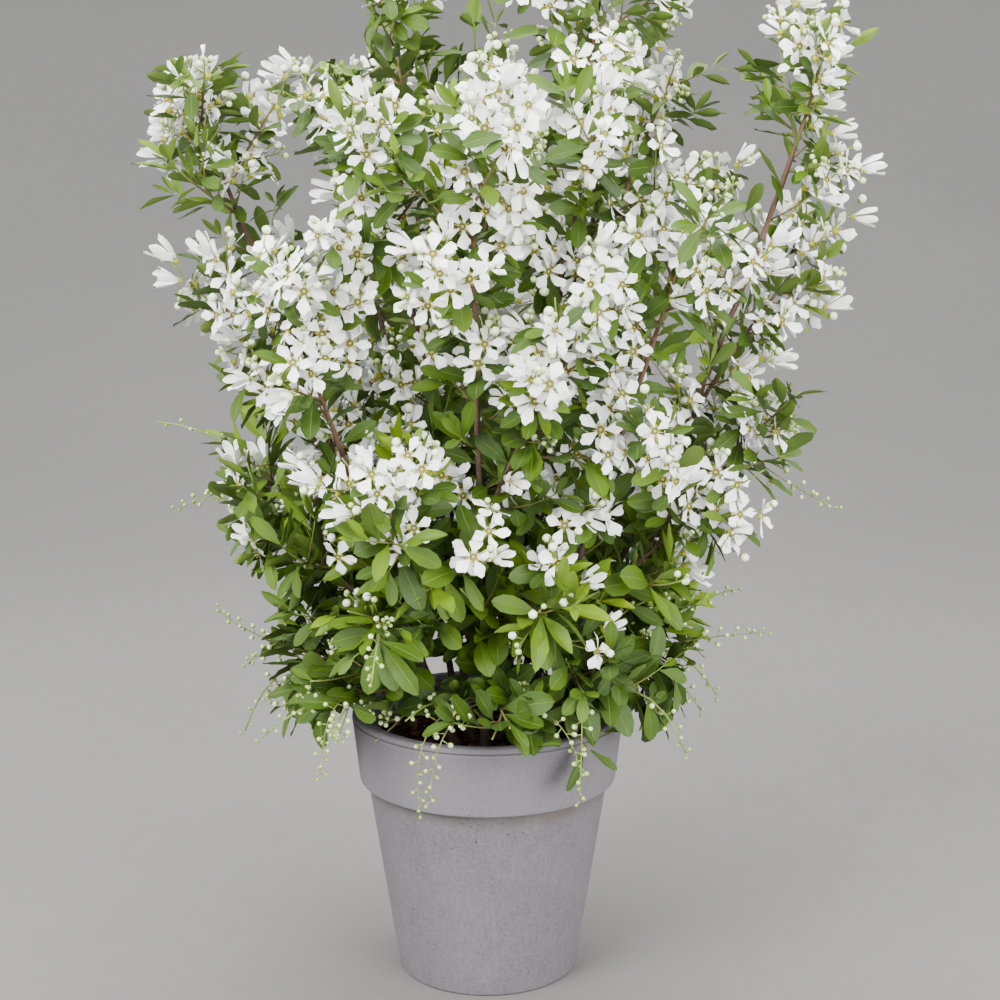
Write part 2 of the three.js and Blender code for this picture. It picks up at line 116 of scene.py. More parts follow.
def addNode(tree, kind, inputs=None, **settings):
    node = tree.nodes.new(kind)
    for key, value in settings.items():
        setattr(node, key, value)
    # a socket is linked, any other value is set, and a colour gets its fourth number
    for key, value in (inputs or {}).items():
        socket = node.inputs[key]
        if isinstance(value, bpy.types.NodeSocket):
            tree.links.new(value, socket)
        else:
            socket.default_value = (*value, 1) if socket.type == "RGBA" else value
    return node


def calculate(tree, operation, *values, clamp=False):
    node = addNode(tree, "ShaderNodeMath", dict(enumerate(values)), operation=operation, use_clamp=clamp)
    return node.outputs[0]


def plus(tree, first, second, clamp=False):
    return calculate(tree, "ADD", first, second, clamp=clamp)


def minus(tree, first, second, clamp=False):
    return calculate(tree, "SUBTRACT", first, second, clamp=clamp)


def times(tree, first, second):
    return calculate(tree, "MULTIPLY", first, second)


def stepUp(tree, value, low, high):
    return addNode(tree, "ShaderNodeMapRange", {"Value": value, "From Min": low, "From Max": high},
                   interpolation_type="SMOOTHSTEP").outputs["Result"]


def stepDown(tree, value, low, high):
    return minus(tree, 1.0, stepUp(tree, value, low, high))


def between(tree, value, rise, fall):
    return minus(tree, stepUp(tree, value, *rise), stepUp(tree, value, *fall))


def mixColours(tree, share, first, second, blend="MIX"):
    node = addNode(tree, "ShaderNodeMix", {0: share, 6: first, 7: second}, data_type="RGBA", blend_type=blend)
    return node.outputs[2]


def tint(tree, base, colour, mask, share):
    # the colour over the base where the mask is, as strong as the share
    return mixColours(tree, times(tree, mask, share), base, colour)


def colourRamp(tree, value, stops):
    node = addNode(tree, "ShaderNodeValToRGB", {"Fac": value})
    ramp = node.color_ramp
    while len(ramp.elements) < len(stops):
        ramp.elements.new(0.5)
    for element, (place, colour) in zip(ramp.elements, stops):
        element.position, element.color = place, (*colour, 1)
    return node.outputs["Color"]


def noise(tree, place, scale, detail, roughness=0.5):
    return addNode(tree, "ShaderNodeTexNoise", {"Vector": place, "Scale": scale, "Detail": detail,
                                                "Roughness": roughness}).outputs["Fac"]


def cells(tree, place, scale):
    return addNode(tree, "ShaderNodeTexVoronoi", {"Vector": place, "Scale": scale}).outputs["Distance"]


def stretch(tree, place, scale):
    return addNode(tree, "ShaderNodeMapping", {"Vector": place, "Scale": scale}).outputs["Vector"]


def objectPlace(tree):
    return addNode(tree, "ShaderNodeTexCoord").outputs["Object"]


def ownMap(tree):
    return addNode(tree, "ShaderNodeUVMap", uv_map="UVMap").outputs["UV"]


def splitUp(tree, place):
    return addNode(tree, "ShaderNodeSeparateXYZ", {"Vector": place}).outputs


def readNumber(tree, name):
    return addNode(tree, "ShaderNodeAttribute", attribute_name=name).outputs["Fac"]


def newGroup(name, inputs, outputs):
    group = bpy.data.node_groups.new(name, "ShaderNodeTree")
    for label, kind, value in inputs:
        socket = group.interface.new_socket(label, in_out="INPUT", socket_type="NodeSocket" + kind)
        socket.default_value = value
    for label, kind in outputs:
        group.interface.new_socket(label, in_out="OUTPUT", socket_type="NodeSocket" + kind)
    return group, addNode(group, "NodeGroupInput").outputs


def mottleGroup():
    # a colour that drifts to a second one in broad and fine patches, with a height that follows it
    group, given = newGroup(
        "mottle",
        [("Vector", "Vector", (0, 0, 0)), ("Colour", "Color", (1, 1, 1, 1)), ("Drift", "Color", (0, 0, 0, 1)),
         ("Broad Scale", "Float", 20), ("Fine Scale", "Float", 160), ("Amount", "Float", 0.5)],
        [("Colour", "Color"), ("Height", "Float")],
    )
    broad = noise(group, given["Vector"], given["Broad Scale"], 3.0, 0.55)
    fine = noise(group, given["Vector"], given["Fine Scale"], 4.0, 0.6)
    both = plus(group, times(group, broad, 0.6), times(group, fine, 0.4))
    drifted = tint(group, given["Colour"], given["Drift"], stepUp(group, both, 0.38, 0.62), given["Amount"])
    addNode(group, "NodeGroupOutput", {"Colour": drifted, "Height": both})
    return group


def specksGroup():
    # small dark pits or specks with soft edges, as a mask
    group, given = newGroup(
        "specks",
        [("Vector", "Vector", (0, 0, 0)), ("Scale", "Float", 300), ("Size", "Float", 0.2),
         ("Rarity", "Float", 0.5)],
        [("Mask", "Float")],
    )
    distance = cells(group, given["Vector"], given["Scale"])
    spot = stepDown(group, distance, times(group, given["Size"], 0.35), given["Size"])
    where = noise(group, given["Vector"], 22.0, 2.0)
    seldom = stepUp(group, where, given["Rarity"], plus(group, given["Rarity"], 0.12))
    addNode(group, "NodeGroupOutput", {"Mask": times(group, spot, seldom)})
    return group


mottle, specks = mottleGroup(), specksGroup()


def mottled(tree, colour, drift, broad, fine, amount):
    values = {"Vector": objectPlace(tree), "Colour": colour, "Drift": drift, "Broad Scale": broad,
              "Fine Scale": fine, "Amount": amount}
    return addNode(tree, "ShaderNodeGroup", values, node_tree=mottle).outputs


def speckled(tree, scale, size, rarity):
    values = {"Vector": objectPlace(tree), "Scale": scale, "Size": size, "Rarity": rarity}
    return addNode(tree, "ShaderNodeGroup", values, node_tree=specks).outputs["Mask"]


def newMaterial(name, roughness, specular):
    material = bpy.data.materials.new(name)
    material.use_nodes = True
    shader = material.node_tree.nodes["Principled BSDF"]
    shader.inputs["Roughness"].default_value = roughness
    shader.inputs["Specular IOR Level"].default_value = specular
    return material, material.node_tree


def cover(material, colour, height=None, distance=0.0, strength=1.0):
    # the finished colour and, where a height is given, the relief
    tree = material.node_tree
    shader = tree.nodes["Principled BSDF"]
    tree.links.new(colour, shader.inputs["Base Color"])
    if height is not None:
        bump = addNode(tree, "ShaderNodeBump", {"Height": height, "Distance": distance, "Strength": strength})
        tree.links.new(bump.outputs["Normal"], shader.inputs["Normal"])
    return material


# helpers for meshes

def meshObject(name, points, faces, material=None, numbers=None, corners=None):
    # a smooth mesh from plain lists, with numbers on its points and a map on its corners
    data = bpy.data.meshes.new(name)
    data.from_pydata([tuple(point) for point in points], [], faces)
    if corners is not None:
        layer = data.uv_layers.new(name="UVMap")
        layer.uv.foreach_set("vector", np.asarray(corners, np.float32).ravel())
    for label, values in (numbers or {}).items():
        addNumbers(data, label, "FLOAT", values)
    data.polygons.foreach_set("use_smooth", [True] * len(data.polygons))
    data.update()
    if material:
        data.materials.append(material)
    return linkObject(name, data)


def addNumbers(data, label, kind, values):
    form = np.int32 if kind == "INT" else np.float32
    field = "vector" if kind == "FLOAT_VECTOR" else "value"
    data.attributes.new(label, kind, "POINT").data.foreach_set(field, np.ravel(values).astype(form))


def tubeSurface(sides, heights, first=0, ends=None):
    # the faces and the map of closed rings of points, with a height in the map for each ring
    faces, corners = [], []
    for i, (low, high) in enumerate(zip(heights, heights[1:])):
        below = first + i * sides
        for j in range(sides):
            k = (j + 1) % sides
            faces.append((below + j, below + k, below + sides + k, below + sides + j))
            corners += [(j / sides, low), ((j + 1) / sides, low), ((j + 1) / sides, high), (j / sides, high)]
    last = first + (len(heights) - 1) * sides
    faces += [tuple(range(first + sides - 1, first - 1, -1)), tuple(range(last, last + sides))]
    bottom, top = ends or (0, heights[-1])
    corners += [(0.5, bottom)] * sides + [(0.5, top)] * sides
    return faces, corners


def ring(radius, height, sides, shift=0.0):
    angles = [fullTurn * (j + shift) / sides for j in range(sides)]
    return [(radius * math.cos(angle), radius * math.sin(angle), height) for angle in angles]


def runsAlong(points):
    return np.concatenate([[0], np.cumsum(np.linalg.norm(np.diff(points, axis=0), axis=1))])


def polar(turn, distance, height):
    angle = math.radians(turn)
    return np.array([distance * math.cos(angle), distance * math.sin(angle), height])


def unit(vector):
    vector = np.asarray(vector, float)
    return vector / np.linalg.norm(vector, axis=-1, keepdims=True)


def mix(low, high, share):
    return low + (high - low) * share


# floor and backdrop in one sweep

backdrop = {
    "halfWidth": 9.0, "front": -8.0, "back": 7.0, "height": 7.0, "bend": 5.0, "steps": 24,
    "colour": (0.128, 0.125, 0.121), "drift": (0.118, 0.115, 0.112),
}


def buildStage():
    back, bend, steps = backdrop["back"], backdrop["bend"], backdrop["steps"]
    rows = [(backdrop["front"], 0.0), (back - bend, 0.0)]
    for step in range(1, steps + 1):
        angle = 0.5 * math.pi * step / steps
        rows.append((back - bend * (1 - math.sin(angle)), bend * (1 - math.cos(angle))))
    rows.append((back, backdrop["height"]))
    points = [(side * backdrop["halfWidth"], y, z) for y, z in rows for side in (-1, 1)]
    faces = [(2 * i, 2 * i + 1, 2 * i + 3, 2 * i + 2) for i in range(len(rows) - 1)]
    plaster, tree = newMaterial("palePlaster", 0.85, 0.2)
    cover(plaster, mottled(tree, backdrop["colour"], backdrop["drift"], 1.4, 30.0, 0.7)["Colour"])
    meshObject("backdrop", points, faces, plaster)


buildStage()
print("camera, light and stage ready")


# the pot: a turned profile, worked out from the size of its node

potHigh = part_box("pot")[1]
pot = {
    "height": potHigh[2] / mm,
    "rim": potHigh[0] / mm,
    "band": 68,
    "taper": 7.5,  # of the band
    "shoulder": 124.5,  # where the wall goes in under the band
    "foot": 93,
    "footRound": 3,
    "hollow": (12, 9, 0.6),  # under the floor: its edge, the foot's edge and the depth
    "wall": 13,
    "lipRound": 4.5,
    "innerRound": 3.2,
    "groove": 1.5,
    "wobble": ((3, 0.25), (7, 0.16)),  # waves round the pot and how far they go in and out
    "soilBelowRim": 34,
    "around": 144,
}
potFinish = {
    "wall": (0.111, 0.104, 0.113),
    "drift": (0.092, 0.087, 0.096),
    # painted light on the band
    "bandLit": (0.15, 0.143, 0.148),
    "streaks": (0.165, 0.158, 0.162),
    "grime": (0.05, 0.046, 0.05),
    "grain": (0.168, 0.16, 0.166),
    "dirt": (0.092, 0.077, 0.067),
    # painted shade in the groove under the lip
    "lipShade": (0.05, 0.047, 0.05),
    "pits": (0.035, 0.032, 0.034),
    "bandHeights": (0.195, 0.212),
    "dirtHeights": ((0.186, 0.198), (0.2, 0.207)),
    "lineDepths": ((0.0026, 0.0021), (0.0012, 0.0007)),  # under the lip's round
}
soilTop = pot["height"] - pot["soilBelowRim"]
earthHeight = soilTop - 3


def arc(centre, radius, start, end, steps):
    angles = np.radians(np.linspace(start, end, steps + 1))
    return [(centre[0] + radius * math.cos(a), centre[1] + radius * math.sin(a)) for a in angles]


def potOutline():
    # radius and height, from the middle of the floor up the outside, over the lip and down to the soil
    high, rim, lip, wall, foot = (pot[key] for key in ("height", "rim", "lipRound", "wall", "foot"))
    bandFoot = high - lip - pot["band"]
    low, edge, turned = rim - pot["taper"], high - lip, pot["footRound"]
    hollow, stand, depth = pot["hollow"]
    out = [(0, depth), (foot - hollow, depth), (foot - stand, 0)]
    out += arc((foot - turned, turned), turned, -90, -8, 4)
    for share in (0.12, 0.35, 0.65, 0.93):
        out.append((foot + share * (pot["shoulder"] - foot), turned + share * (bandFoot - turned)))
    out += arc((pot["shoulder"] + 2.0, bandFoot - 3.0), 2.4, 170, 90, 3)
    out += arc((low - 2.2, bandFoot + 2.0), 2.2, -80, 0, 4)
    for share in (0.1, 0.4, 0.7, 0.93):
        out.append((low + share * pot["taper"], bandFoot + 2 + share * (pot["band"] - 3)))
    for back, down in ((0, 2.8), (0.2, 2.3), (1, 2.0), (1, 1.1), (0.2, 0.8)):
        out.append((rim - back * pot["groove"], edge - down))
    out += arc((rim - lip, edge), lip - 0.2, 4, 90, 6)
    inner, soft = rim - wall, pot["innerRound"]
    out += arc((inner + soft, high - soft), soft, 92, 178, 5)
    lean, under = (inner - (foot - wall)) / (high - 3), high - earthHeight
    for share in (0.15, 0.5, 0.8, 1.25):
        out.append((inner - lean * share * under, high - soft - share * (under - 3)))
    return out


def buildPot():
    outline, around = potOutline(), pot["around"]
    random = np.random.default_rng(11)
    turns = np.linspace(0, fullTurn, around, endpoint=False)
    wobble = sum(far * np.sin(count * turns + random.uniform(0, fullTurn)) for count, far in pot["wobble"])
    points = []
    for r, z in outline:
        for turn, off in zip(turns, wobble):
            radius = min(r + off * min(1.0, r / 90), pot["rim"] + 0.3)
            points.append((radius * math.cos(turn) * mm, radius * math.sin(turn) * mm, z * mm))
    faces, corners = tubeSurface(around, runsAlong(outline))
    made = meshObject("claypot", points, faces, potMaterial(), corners=corners)
    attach(made, "root")
    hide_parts("pot")


def potMaterial():
    clay, tree = newMaterial("greyClay", 0.88, 0.2)
    place = objectPlace(tree)
    height = splitUp(tree, place)["Z"]
    wash = mottled(tree, potFinish["wall"], potFinish["drift"], 11.0, 55.0, 0.8)["Colour"]
    # painted light: the band is lighter than the wall below it, to lift the shade that the crown casts on it
    bandLit = tint(tree, wash, potFinish["bandLit"], stepUp(tree, height, *potFinish["bandHeights"]), 0.6)
    # faint upright streaks and a fine grain
    streak = noise(tree, stretch(tree, place, (1.0, 1.0, 0.16)), 210.0, 4.0)
    grain = noise(tree, place, 330.0, 4.0, 0.7)
    pale = tint(tree, bandLit, potFinish["streaks"], stepUp(tree, streak, 0.5, 0.7), 0.22)
    grimy = mixColours(tree, 0.16, pale, potFinish["grime"])
    grained = tint(tree, grimy, potFinish["grain"], stepUp(tree, grain, 0.35, 0.62), 0.3)
    # brown dirt in the groove under the band
    groove = between(tree, height, *potFinish["dirtHeights"])
    patches = stepUp(tree, noise(tree, place, 26.0, 3.0), 0.3, 0.7)
    dirty = tint(tree, grained, potFinish["dirt"], groove, patches)
    # painted shade: a dark line in the groove under the lip, then pits
    top = (pot["height"] - pot["lipRound"]) * mm
    line = between(tree, height, *([top - depth for depth in depths] for depths in potFinish["lineDepths"]))
    lipShaded = tint(tree, dirty, potFinish["lipShade"], line, 0.6)
    pits = calculate(tree, "MAXIMUM", speckled(tree, 150.0, 0.15, 0.5), speckled(tree, 55.0, 0.085, 0.52))
    colour = tint(tree, lipShaded, potFinish["pits"], pits, 0.85)
    relief = plus(tree, minus(tree, times(tree, grain, 0.5), pits), times(tree, streak, 0.3))
    return cover(clay, colour, relief, 0.0007, 0.8)


buildPot()
print("pot ready")


# lines of the plant: every stem and branch grows to the tip of its last twig

# turn is the compass of the lean, foot and reach are distances from the pot's axis, top is a height, bow is
# the share of the lean at half height, and bloom is the share of shoots that flower. A branch has its share
# of the stem's height, turn, reach, top and bloom, and "bough" where a limb comes before its spray.
stems = {
    "right_leader": {
        "turn": 3, "foot": 40, "reach": 340, "top": 965, "bow": 0.66, "thick": 4.8, "bloom": 0.75,
        "low": (0.12, -8, 185, 345, 0), "mid": (0.16, -5, 290, 590, 0.7, "bough"),
        "high": (0.42, 7, 355, 770, 0.9, "bough")},
    "right_front": {
        "turn": -42, "foot": 38, "reach": 255, "top": 790, "bow": 0.5, "thick": 4.2, "bloom": 0.85,
        "low": (0.12, -47, 205, 345, 0), "mid": (0.16, -24, 262, 530, 0.65, "bough")},
    "right_back": {
        "turn": 47, "foot": 40, "reach": 260, "top": 930, "bow": 0.48, "thick": 4.2, "bloom": 0.9,
        "low": (0.14, 30, 195, 370, 0.15), "mid": (0.2, 62, 262, 640, 0.75, "bough")},
    "middle_front": {
        "turn": -94, "foot": 36, "reach": 190, "top": 860, "bow": 0.46, "thick": 4.2, "bloom": 0.95,
        "low": (0.1, -84, 185, 320, 0), "inner": (0.2, -70, 190, 430, 0.35),
        "mid": (0.14, -114, 230, 545, 0.8, "bough"), "high": (0.38, -68, 225, 680, 0.95, "bough")},
    "middle_top": {
        "turn": 14, "foot": 16, "reach": 125, "top": 1058, "bow": 0.4, "thick": 4.6, "bloom": 0.95,
        "low": (0.22, -60, 150, 540, 0.8), "high": (0.42, -56, 180, 870, 0.95, "bough")},
    "left_top": {
        "turn": 172, "foot": 18, "reach": 98, "top": 1046, "bow": 0.5, "thick": 4.6, "bloom": 0.45,
        "low": (0.24, -132, 150, 560, 0.7), "high": (0.42, -126, 185, 850, 0.95, "bough")},
    "left_arch": {
        "turn": 183, "foot": 42, "reach": 300, "top": 935, "bow": 0.5, "thick": 4.6, "bloom": 0.95,
        "low": (0.12, 176, 200, 320, 0), "mid": (0.16, 174, 262, 545, 0.5, "bough"),
        "high": (0.36, 190, 295, 725, 0.9, "bough")},
    "left_front": {
        "turn": -136, "foot": 44, "reach": 265, "top": 745, "bow": 0.52, "thick": 4.2, "bloom": 0.9,
        "low": (0.12, -144, 200, 320, 0), "inner": (0.2, -124, 205, 420, 0.2),
        "mid": (0.18, -162, 240, 500, 0.5, "bough")},
    "left_back": {
        "turn": 132, "foot": 40, "reach": 260, "top": 950, "bow": 0.48, "thick": 4.2, "bloom": 0.9,
        "low": (0.14, 142, 215, 360, 0.15), "mid": (0.2, 117, 262, 640, 0.75, "bough")},
    "back": {
        "turn": 91, "foot": 38, "reach": 265, "top": 880, "bow": 0.48, "thick": 4.2, "bloom": 0.9,
        "low": (0.16, 90, 215, 375, 0.2), "mid": (0.22, 76, 250, 570, 0.6, "bough")},
}
branchNames = ("low", "inner", "mid", "high")
limbForm = {
    "flare": 0.6,
    "flareHeight": 9,
    "boughShare": 0.62,
    "arch": 0.12,
    "tip": 2.6,
    "gap": 0.3,
    "placesApart": 4,
    "ownPlaces": 4,  # so many from the foot don't stand in the way of the limb's own shoots
}

# the crown's outline: height, then the reach to the left, to the right, and to the front and back
crown = np.array([
    (230, 205, 190, 195), (300, 235, 212, 210), (400, 240, 240, 235), (500, 285, 305, 265),
    (600, 290, 345, 285), (700, 315, 380, 295), (800, 350, 395, 295), (900, 345, 395, 285),
    (960, 325, 390, 240), (1020, 190, 300, 170), (1060, 130, 160, 110), (1085, 30, 60, 30),
], float)
spray = {
    "reach": 118,
    "room": 6,  # to the next spray's side
    "sideShoots": 5,
    "leaderSteps": 3,
    "shootsAlong": (0.08, 0.84),  # the first one's place on the leader, and the stretch that they share
    "firstShare": 0.35,  # of the step between shoots
    "turnSpread": 30,
    "open": (66, 34),  # degrees, at the first and the last shoot
    "long": (1.06, 0.62),
    "longSpread": (0.85, 0.3),
    "places": 29,  # along a shoot, to see whether it is free
    "lift": 0.16,
    "shorten": (1, 0.8, 0.62, 0.46, 0.34),  # tried one after another until a shoot is free
    "shootRadius": 1.2,
    "clear": 1.5,
    "inset": 0.86,  # of the crown's outline
    "centreBack": 0.8,  # reaches back from the tip
    "centreLeast": 0.25,
    "entryBack": 1.75,
    "entryLeast": 0.06,
    "entryMost": 0.8,
    "entrySteps": 60,
    "goldenAngle": 137.5,
}
golden = math.radians(spray["goldenAngle"])


class Bend:
    # a curve from a foot over a bend to a tip
    shares = np.linspace(0, 1, 201)

    def __init__(self, foot, bend, tip):
        self.foot, self.bend, self.tip = (np.asarray(p, float) for p in (foot, bend, tip))
        self.runs = runsAlong(self.at(self.shares))
        self.length = self.runs[-1]

    def at(self, t):
        t = np.asarray(t, float)[..., None]
        return (1 - t) ** 2 * self.foot + 2 * t * (1 - t) * self.bend + t * t * self.tip

    def atLength(self, share):
        return self.at(np.interp(share * self.length, self.runs, self.shares))


class Pieces:
    # straight pieces between points at equal steps
    def __init__(self, points):
        self.points = np.asarray(points, float)

    def at(self, t):
        place = np.clip(np.asarray(t, float), 0, 1) * (len(self.points) - 1)
        i = np.minimum(place.astype(int), len(self.points) - 2)
        share = (place - i)[..., None]
        return self.points[i] * (1 - share) + self.points[i + 1] * share

    def along(self, t):
        return unit(self.at(min(1, t + 1e-4)) - self.at(max(0, t - 1e-4)))

    def side(self):
        start, middle, end = self.at(0.0), self.at(0.5), self.at(1.0)
        first = middle - start
        side = np.cross(first, end - start)
        if np.linalg.norm(side) < 0.01 * first @ first:
            side = np.cross(first, (0.3, 1, 0.2))
        return unit(side)

    def direction(self, t, turn, openAngle):
        return openFrom(self.along(t), self.side(), turn, openAngle)


def openFrom(along, side, turn, openAngle):
    # the way that opens from along by an angle, turned round it from its side
    outward = math.cos(turn) * side + math.sin(turn) * np.cross(along, side)
    return math.cos(openAngle) * along + math.sin(openAngle) * outward


class Steady:
    # the same numbers from 0 to 1 each time, from a seed
    def __init__(self, seed):
        self.state = (seed * 2654435761) % 4294967296

    def __call__(self):
        self.state = (self.state * 1664525 + 1013904223) % 4294967296
        return self.state / 4294967296


def plantLines():
    lines = []
    for name, stem in stems.items():
        turn, height = stem["turn"], stem["top"] - soilTop
        foot = polar(turn, stem["foot"], soilTop + limbForm["gap"])
        bend = polar(turn, mix(stem["foot"], stem["reach"], stem["bow"]), mix(soilTop, stem["top"], 0.5))
        curve = Bend(foot, bend, polar(turn, stem["reach"], stem["top"]))

        def stemRadius(t, thick=stem["thick"], height=height):
            flare = limbForm["flare"] * np.exp(-t * height / limbForm["flareHeight"])
            return mix(thick, limbForm["tip"], t) * (1 + flare)

        lines.append({"spray": f"spray_{name}_tip", "curve": curve, "radiusAt": stemRadius,
                      "bloom": stem["bloom"], "limb": True, "isStem": True})
        for branch in branchNames:
            if branch not in stem:
                continue
            at, turn, reach, top, bloom, *bough = stem[branch]
            root, tip = curve.at(at), polar(turn, reach, top)
            arch = mix(root, tip, 0.5) + up * limbForm["arch"] * np.linalg.norm(tip - root)
            thick = stemRadius(at) * limbForm["boughShare"]
            lines.append({"spray": f"spray_{name}_{branch}", "curve": Bend(root, arch, tip),
                          "radiusAt": lambda t, thick=thick: mix(thick, limbForm["tip"], t),
                          "bloom": bloom, "limb": bool(bough), "isStem": False})
    for i, line in enumerate(lines):
        back = spray["centreBack"] * spray["reach"] / line["curve"].length
        line["centre"] = line["curve"].atLength(max(spray["centreLeast"], 1 - back))
        line["seed"] = i + 1
    return lines


lines = plantLines()
centres = np.array([line["centre"] for line in lines])


def roomAt(index, points):
    # how far points lie inside a spray's own space, which ends halfway to the next spray's centre
    points = np.atleast_2d(points)
    others = np.delete(centres, index, axis=0)
    across = others - centres[index]
    middle = 0.5 * (others + centres[index])
    reach = np.einsum("ijk,jk->ij", middle[None] - points[:, None], across) / np.linalg.norm(across, axis=1)
    return reach.min(axis=1)


def crownShare(points):
    # how far out in the crown's outline points lie: 1 is on it
    x, y, z = np.atleast_2d(points).T
    left, right, deep = (np.interp(z, crown[:, 0], crown[:, i]) for i in (1, 2, 3))
    beyond = np.maximum(0, np.maximum(crown[0, 0] - z, z - crown[-1, 0]))
    return np.hypot(x / np.where(x < 0, left, right), y / deep) + 0.1 * beyond


def nearPot(points, margin=4):
    x, y, z = np.atleast_2d(points).T
    return (z < pot["height"] + margin) & (np.hypot(x, y) < pot["rim"] + margin)


def entryOf(index, line):
    # the share of a line at which it enters its spray
    furthest = 1 - spray["entryBack"] * spray["reach"] / line["curve"].length
    furthest = max(spray["entryLeast"], furthest)
    entry = spray["entryMost"]
    for t in entry * (1 - np.arange(spray["entrySteps"] + 1) / spray["entrySteps"]):
        if t < furthest or roomAt(index, line["curve"].at(t))[0] < spray["room"]:
            break
        entry = t
    return entry


def limbPoints():
    # places on all the limbs, with their radius, line and count from the foot
    places, radii, owners, counts = [], [], [], []
    for index, line in enumerate(lines):
        count = math.ceil(line["curve"].length * line["entry"] / limbForm["placesApart"])
        shares = line["entry"] * np.arange(count + 1) / count
        places.append(line["curve"].at(shares))
        radii.append(line["radiusAt"](shares) * np.ones(count + 1))
        owners += [index] * (count + 1)
        counts += list(range(count + 1))
    return np.concatenate(places), np.concatenate(radii), np.array(owners), np.array(counts)


for index, line in enumerate(lines):
    line["entry"] = entryOf(index, line)
limbPlaces, limbRadii, limbOwners, limbSteps = limbPoints()


def isFree(index, line, root, tip):
    points = root + np.linspace(0, 1, spray["places"])[:, None] * (tip - root)
    if roomAt(index, points).min() < spray["room"] or crownShare(points).max() >= spray["inset"]:
        return False
    if nearPot(points).any():
        return False
    counted = ~((limbOwners == index) & ((not line["limb"]) | (limbSteps < limbForm["ownPlaces"])))
    apart = np.linalg.norm(points[:, None] - limbPlaces[counted][None], axis=2)
    return bool((apart >= limbRadii[counted] + spray["shootRadius"] + spray["clear"]).all())


def growShoots(index, line):
    random = Steady(line["seed"])
    start = line["entry"] + 2 * limbForm["gap"] / line["curve"].length if line["limb"] else 0.0
    shares = mix(start, 1, np.arange(spray["leaderSteps"] + 1) / spray["leaderSteps"])
    leader = Pieces(line["curve"].at(shares))
    shoots = [{"leader": True, "start": start, "flowers": random() < line["bloom"]}]
    firstTurn = 360 * random()
    (first, stretch), (least, more) = spray["shootsAlong"], spray["longSpread"]
    for i in range(spray["sideShoots"]):
        share = (i + spray["firstShare"]) / spray["sideShoots"]
        t = first + stretch * share
        turn = firstTurn + i * spray["goldenAngle"] + spray["turnSpread"] * (random() - 0.5)
        openAngle = math.radians(mix(*spray["open"], share))
        full = spray["reach"] * mix(*spray["long"], share) * (least + more * random())
        flowers = random() < line["bloom"]
        direction, root = leader.direction(t, math.radians(turn), openAngle), leader.at(t)
        for part in spray["shorten"]:
            tip = root + direction * part * full + up * spray["lift"] * part * full
            if isFree(index, line, root, tip):
                shoots.append({"leader": False, "root": root, "direction": direction, "tip": tip,
                               "flowers": flowers})
                break
    return shoots


for index, line in enumerate(lines):
    line["shoots"] = growShoots(index, line)
print("grown", len(lines), "sprays with", sum(len(line["shoots"]) for line in lines), "shoots")


# twigs, leaves, flowers and buds grow on from the shoots

# a pair is for low down and above, and a pair of rows holds heights and the values at them
grow = {
    "lowDown": 400,
    "onward": (30, 0.75, 1.25),  # how far a twig grows on past the source's shoot, and its spread
    "budOnward": (50, 105),
    "budReach": ((580, 720), (1.28, 1.04)),  # how far past the crown's outline buds reach
    "onwardRise": (-0.1, 0.35),
    "budOnwardRise": ((-2.0, -0.5), (-0.6, 0.1)),
    "onwardSteps": 4,
    "shorter": 0.7,  # a shoot that finds no room grows on so much less, again and again
    "shortest": 6,
    "budMargin": 0.02,
    "room": -14,  # how far leaves and flowers may reach into the next spray's space, and shoots' tips
    "tipRoom": -30,
    "places": {"leader": 14, "shoot": 9, "limb": 40, "longRaceme": 14},
    "within": {"shoot": 0.97, "side": 0.96, "spur": 0.94},  # share of the crown's outline
    "clear": {"side": 6, "spur": 5},  # round the tip
    "tries": 7,
    "tryTurn": 100,
    "tryShrink": 0.94,
    "seeds": {"shoots": 1000, "spurs": 3000, "longRacemes": 5000, "leaves": 77},
}
leafPlan = {
    "step": 11.5,
    "long": (44, 68),
    "tipLong": (26, 44),
    "open": (64, 36),  # degrees, at a twig's foot and at its tip
    "tipOpen": {"blossom": (48, 68), "leafy": (22, 44)},
    "sizes": ((420, 800), (1.1, 0.86)),
    "onBlossom": 0.88,  # sizes on blossoming and on short twigs
    "onShort": 0.85,
    "atShortTip": 0.9,
    "first": {False: 12, True: 6},  # where leaves begin on a long and on a short twig
    "smaller": 0.85,  # towards a twig's tip
    "paler": 0.25,
    "tipPaler": {False: 0.15, True: 0.32},  # on other twigs and on leafy ones
    "toneSpread": (-0.1, 0.1),
    "tipToneSpread": (-0.1, 0.15),
    "leafyTo": {"blossom": 0.46, "buds": 0.45, "leafy": 1.0},  # share of the twig with leaves
    "whorl": 3,
    # painted shade: leaves low down take darker tones than those above, for the shade they stand in
    "tones": ((0.0, 0.22), (0.06, 0.56)),
    "youngTone": 0.55,  # above it a leaf is a young one
    "youngTones": (0.6, 0.8),
    "kinds": 4,  # of leaf, and as many of young leaf
    "youngShoots": (0.06, 0.14),
    "youngShare": (1.4, 0.6),  # of them on other shoots and on flowering ones
    "rimShows": (20, 152, 12),  # in front, within this width and up to this above the rim, few leaves hang
    "soilShows": (15, 36),  # left of this place the leaves keep this far above the rim
    "hanging": 0.03,
    "unevenRun": (-2, 2),
    "unevenTurn": (-0.3, 0.3),
    "roll": 0.45,
    "sag": 0.5,
    "youngSag": (0.6, 0.3),  # from this tone on leaves hang down so much less
    "faces": (0.62, 0.55),  # up, and away from the plant's middle
    "spots": ((0.35, 0.65, 0.97), (0, 0.02, 0.08)),  # places along a leaf that stand for it, and their drop
    "room": 3.0,
    "taken": 3.5,
}
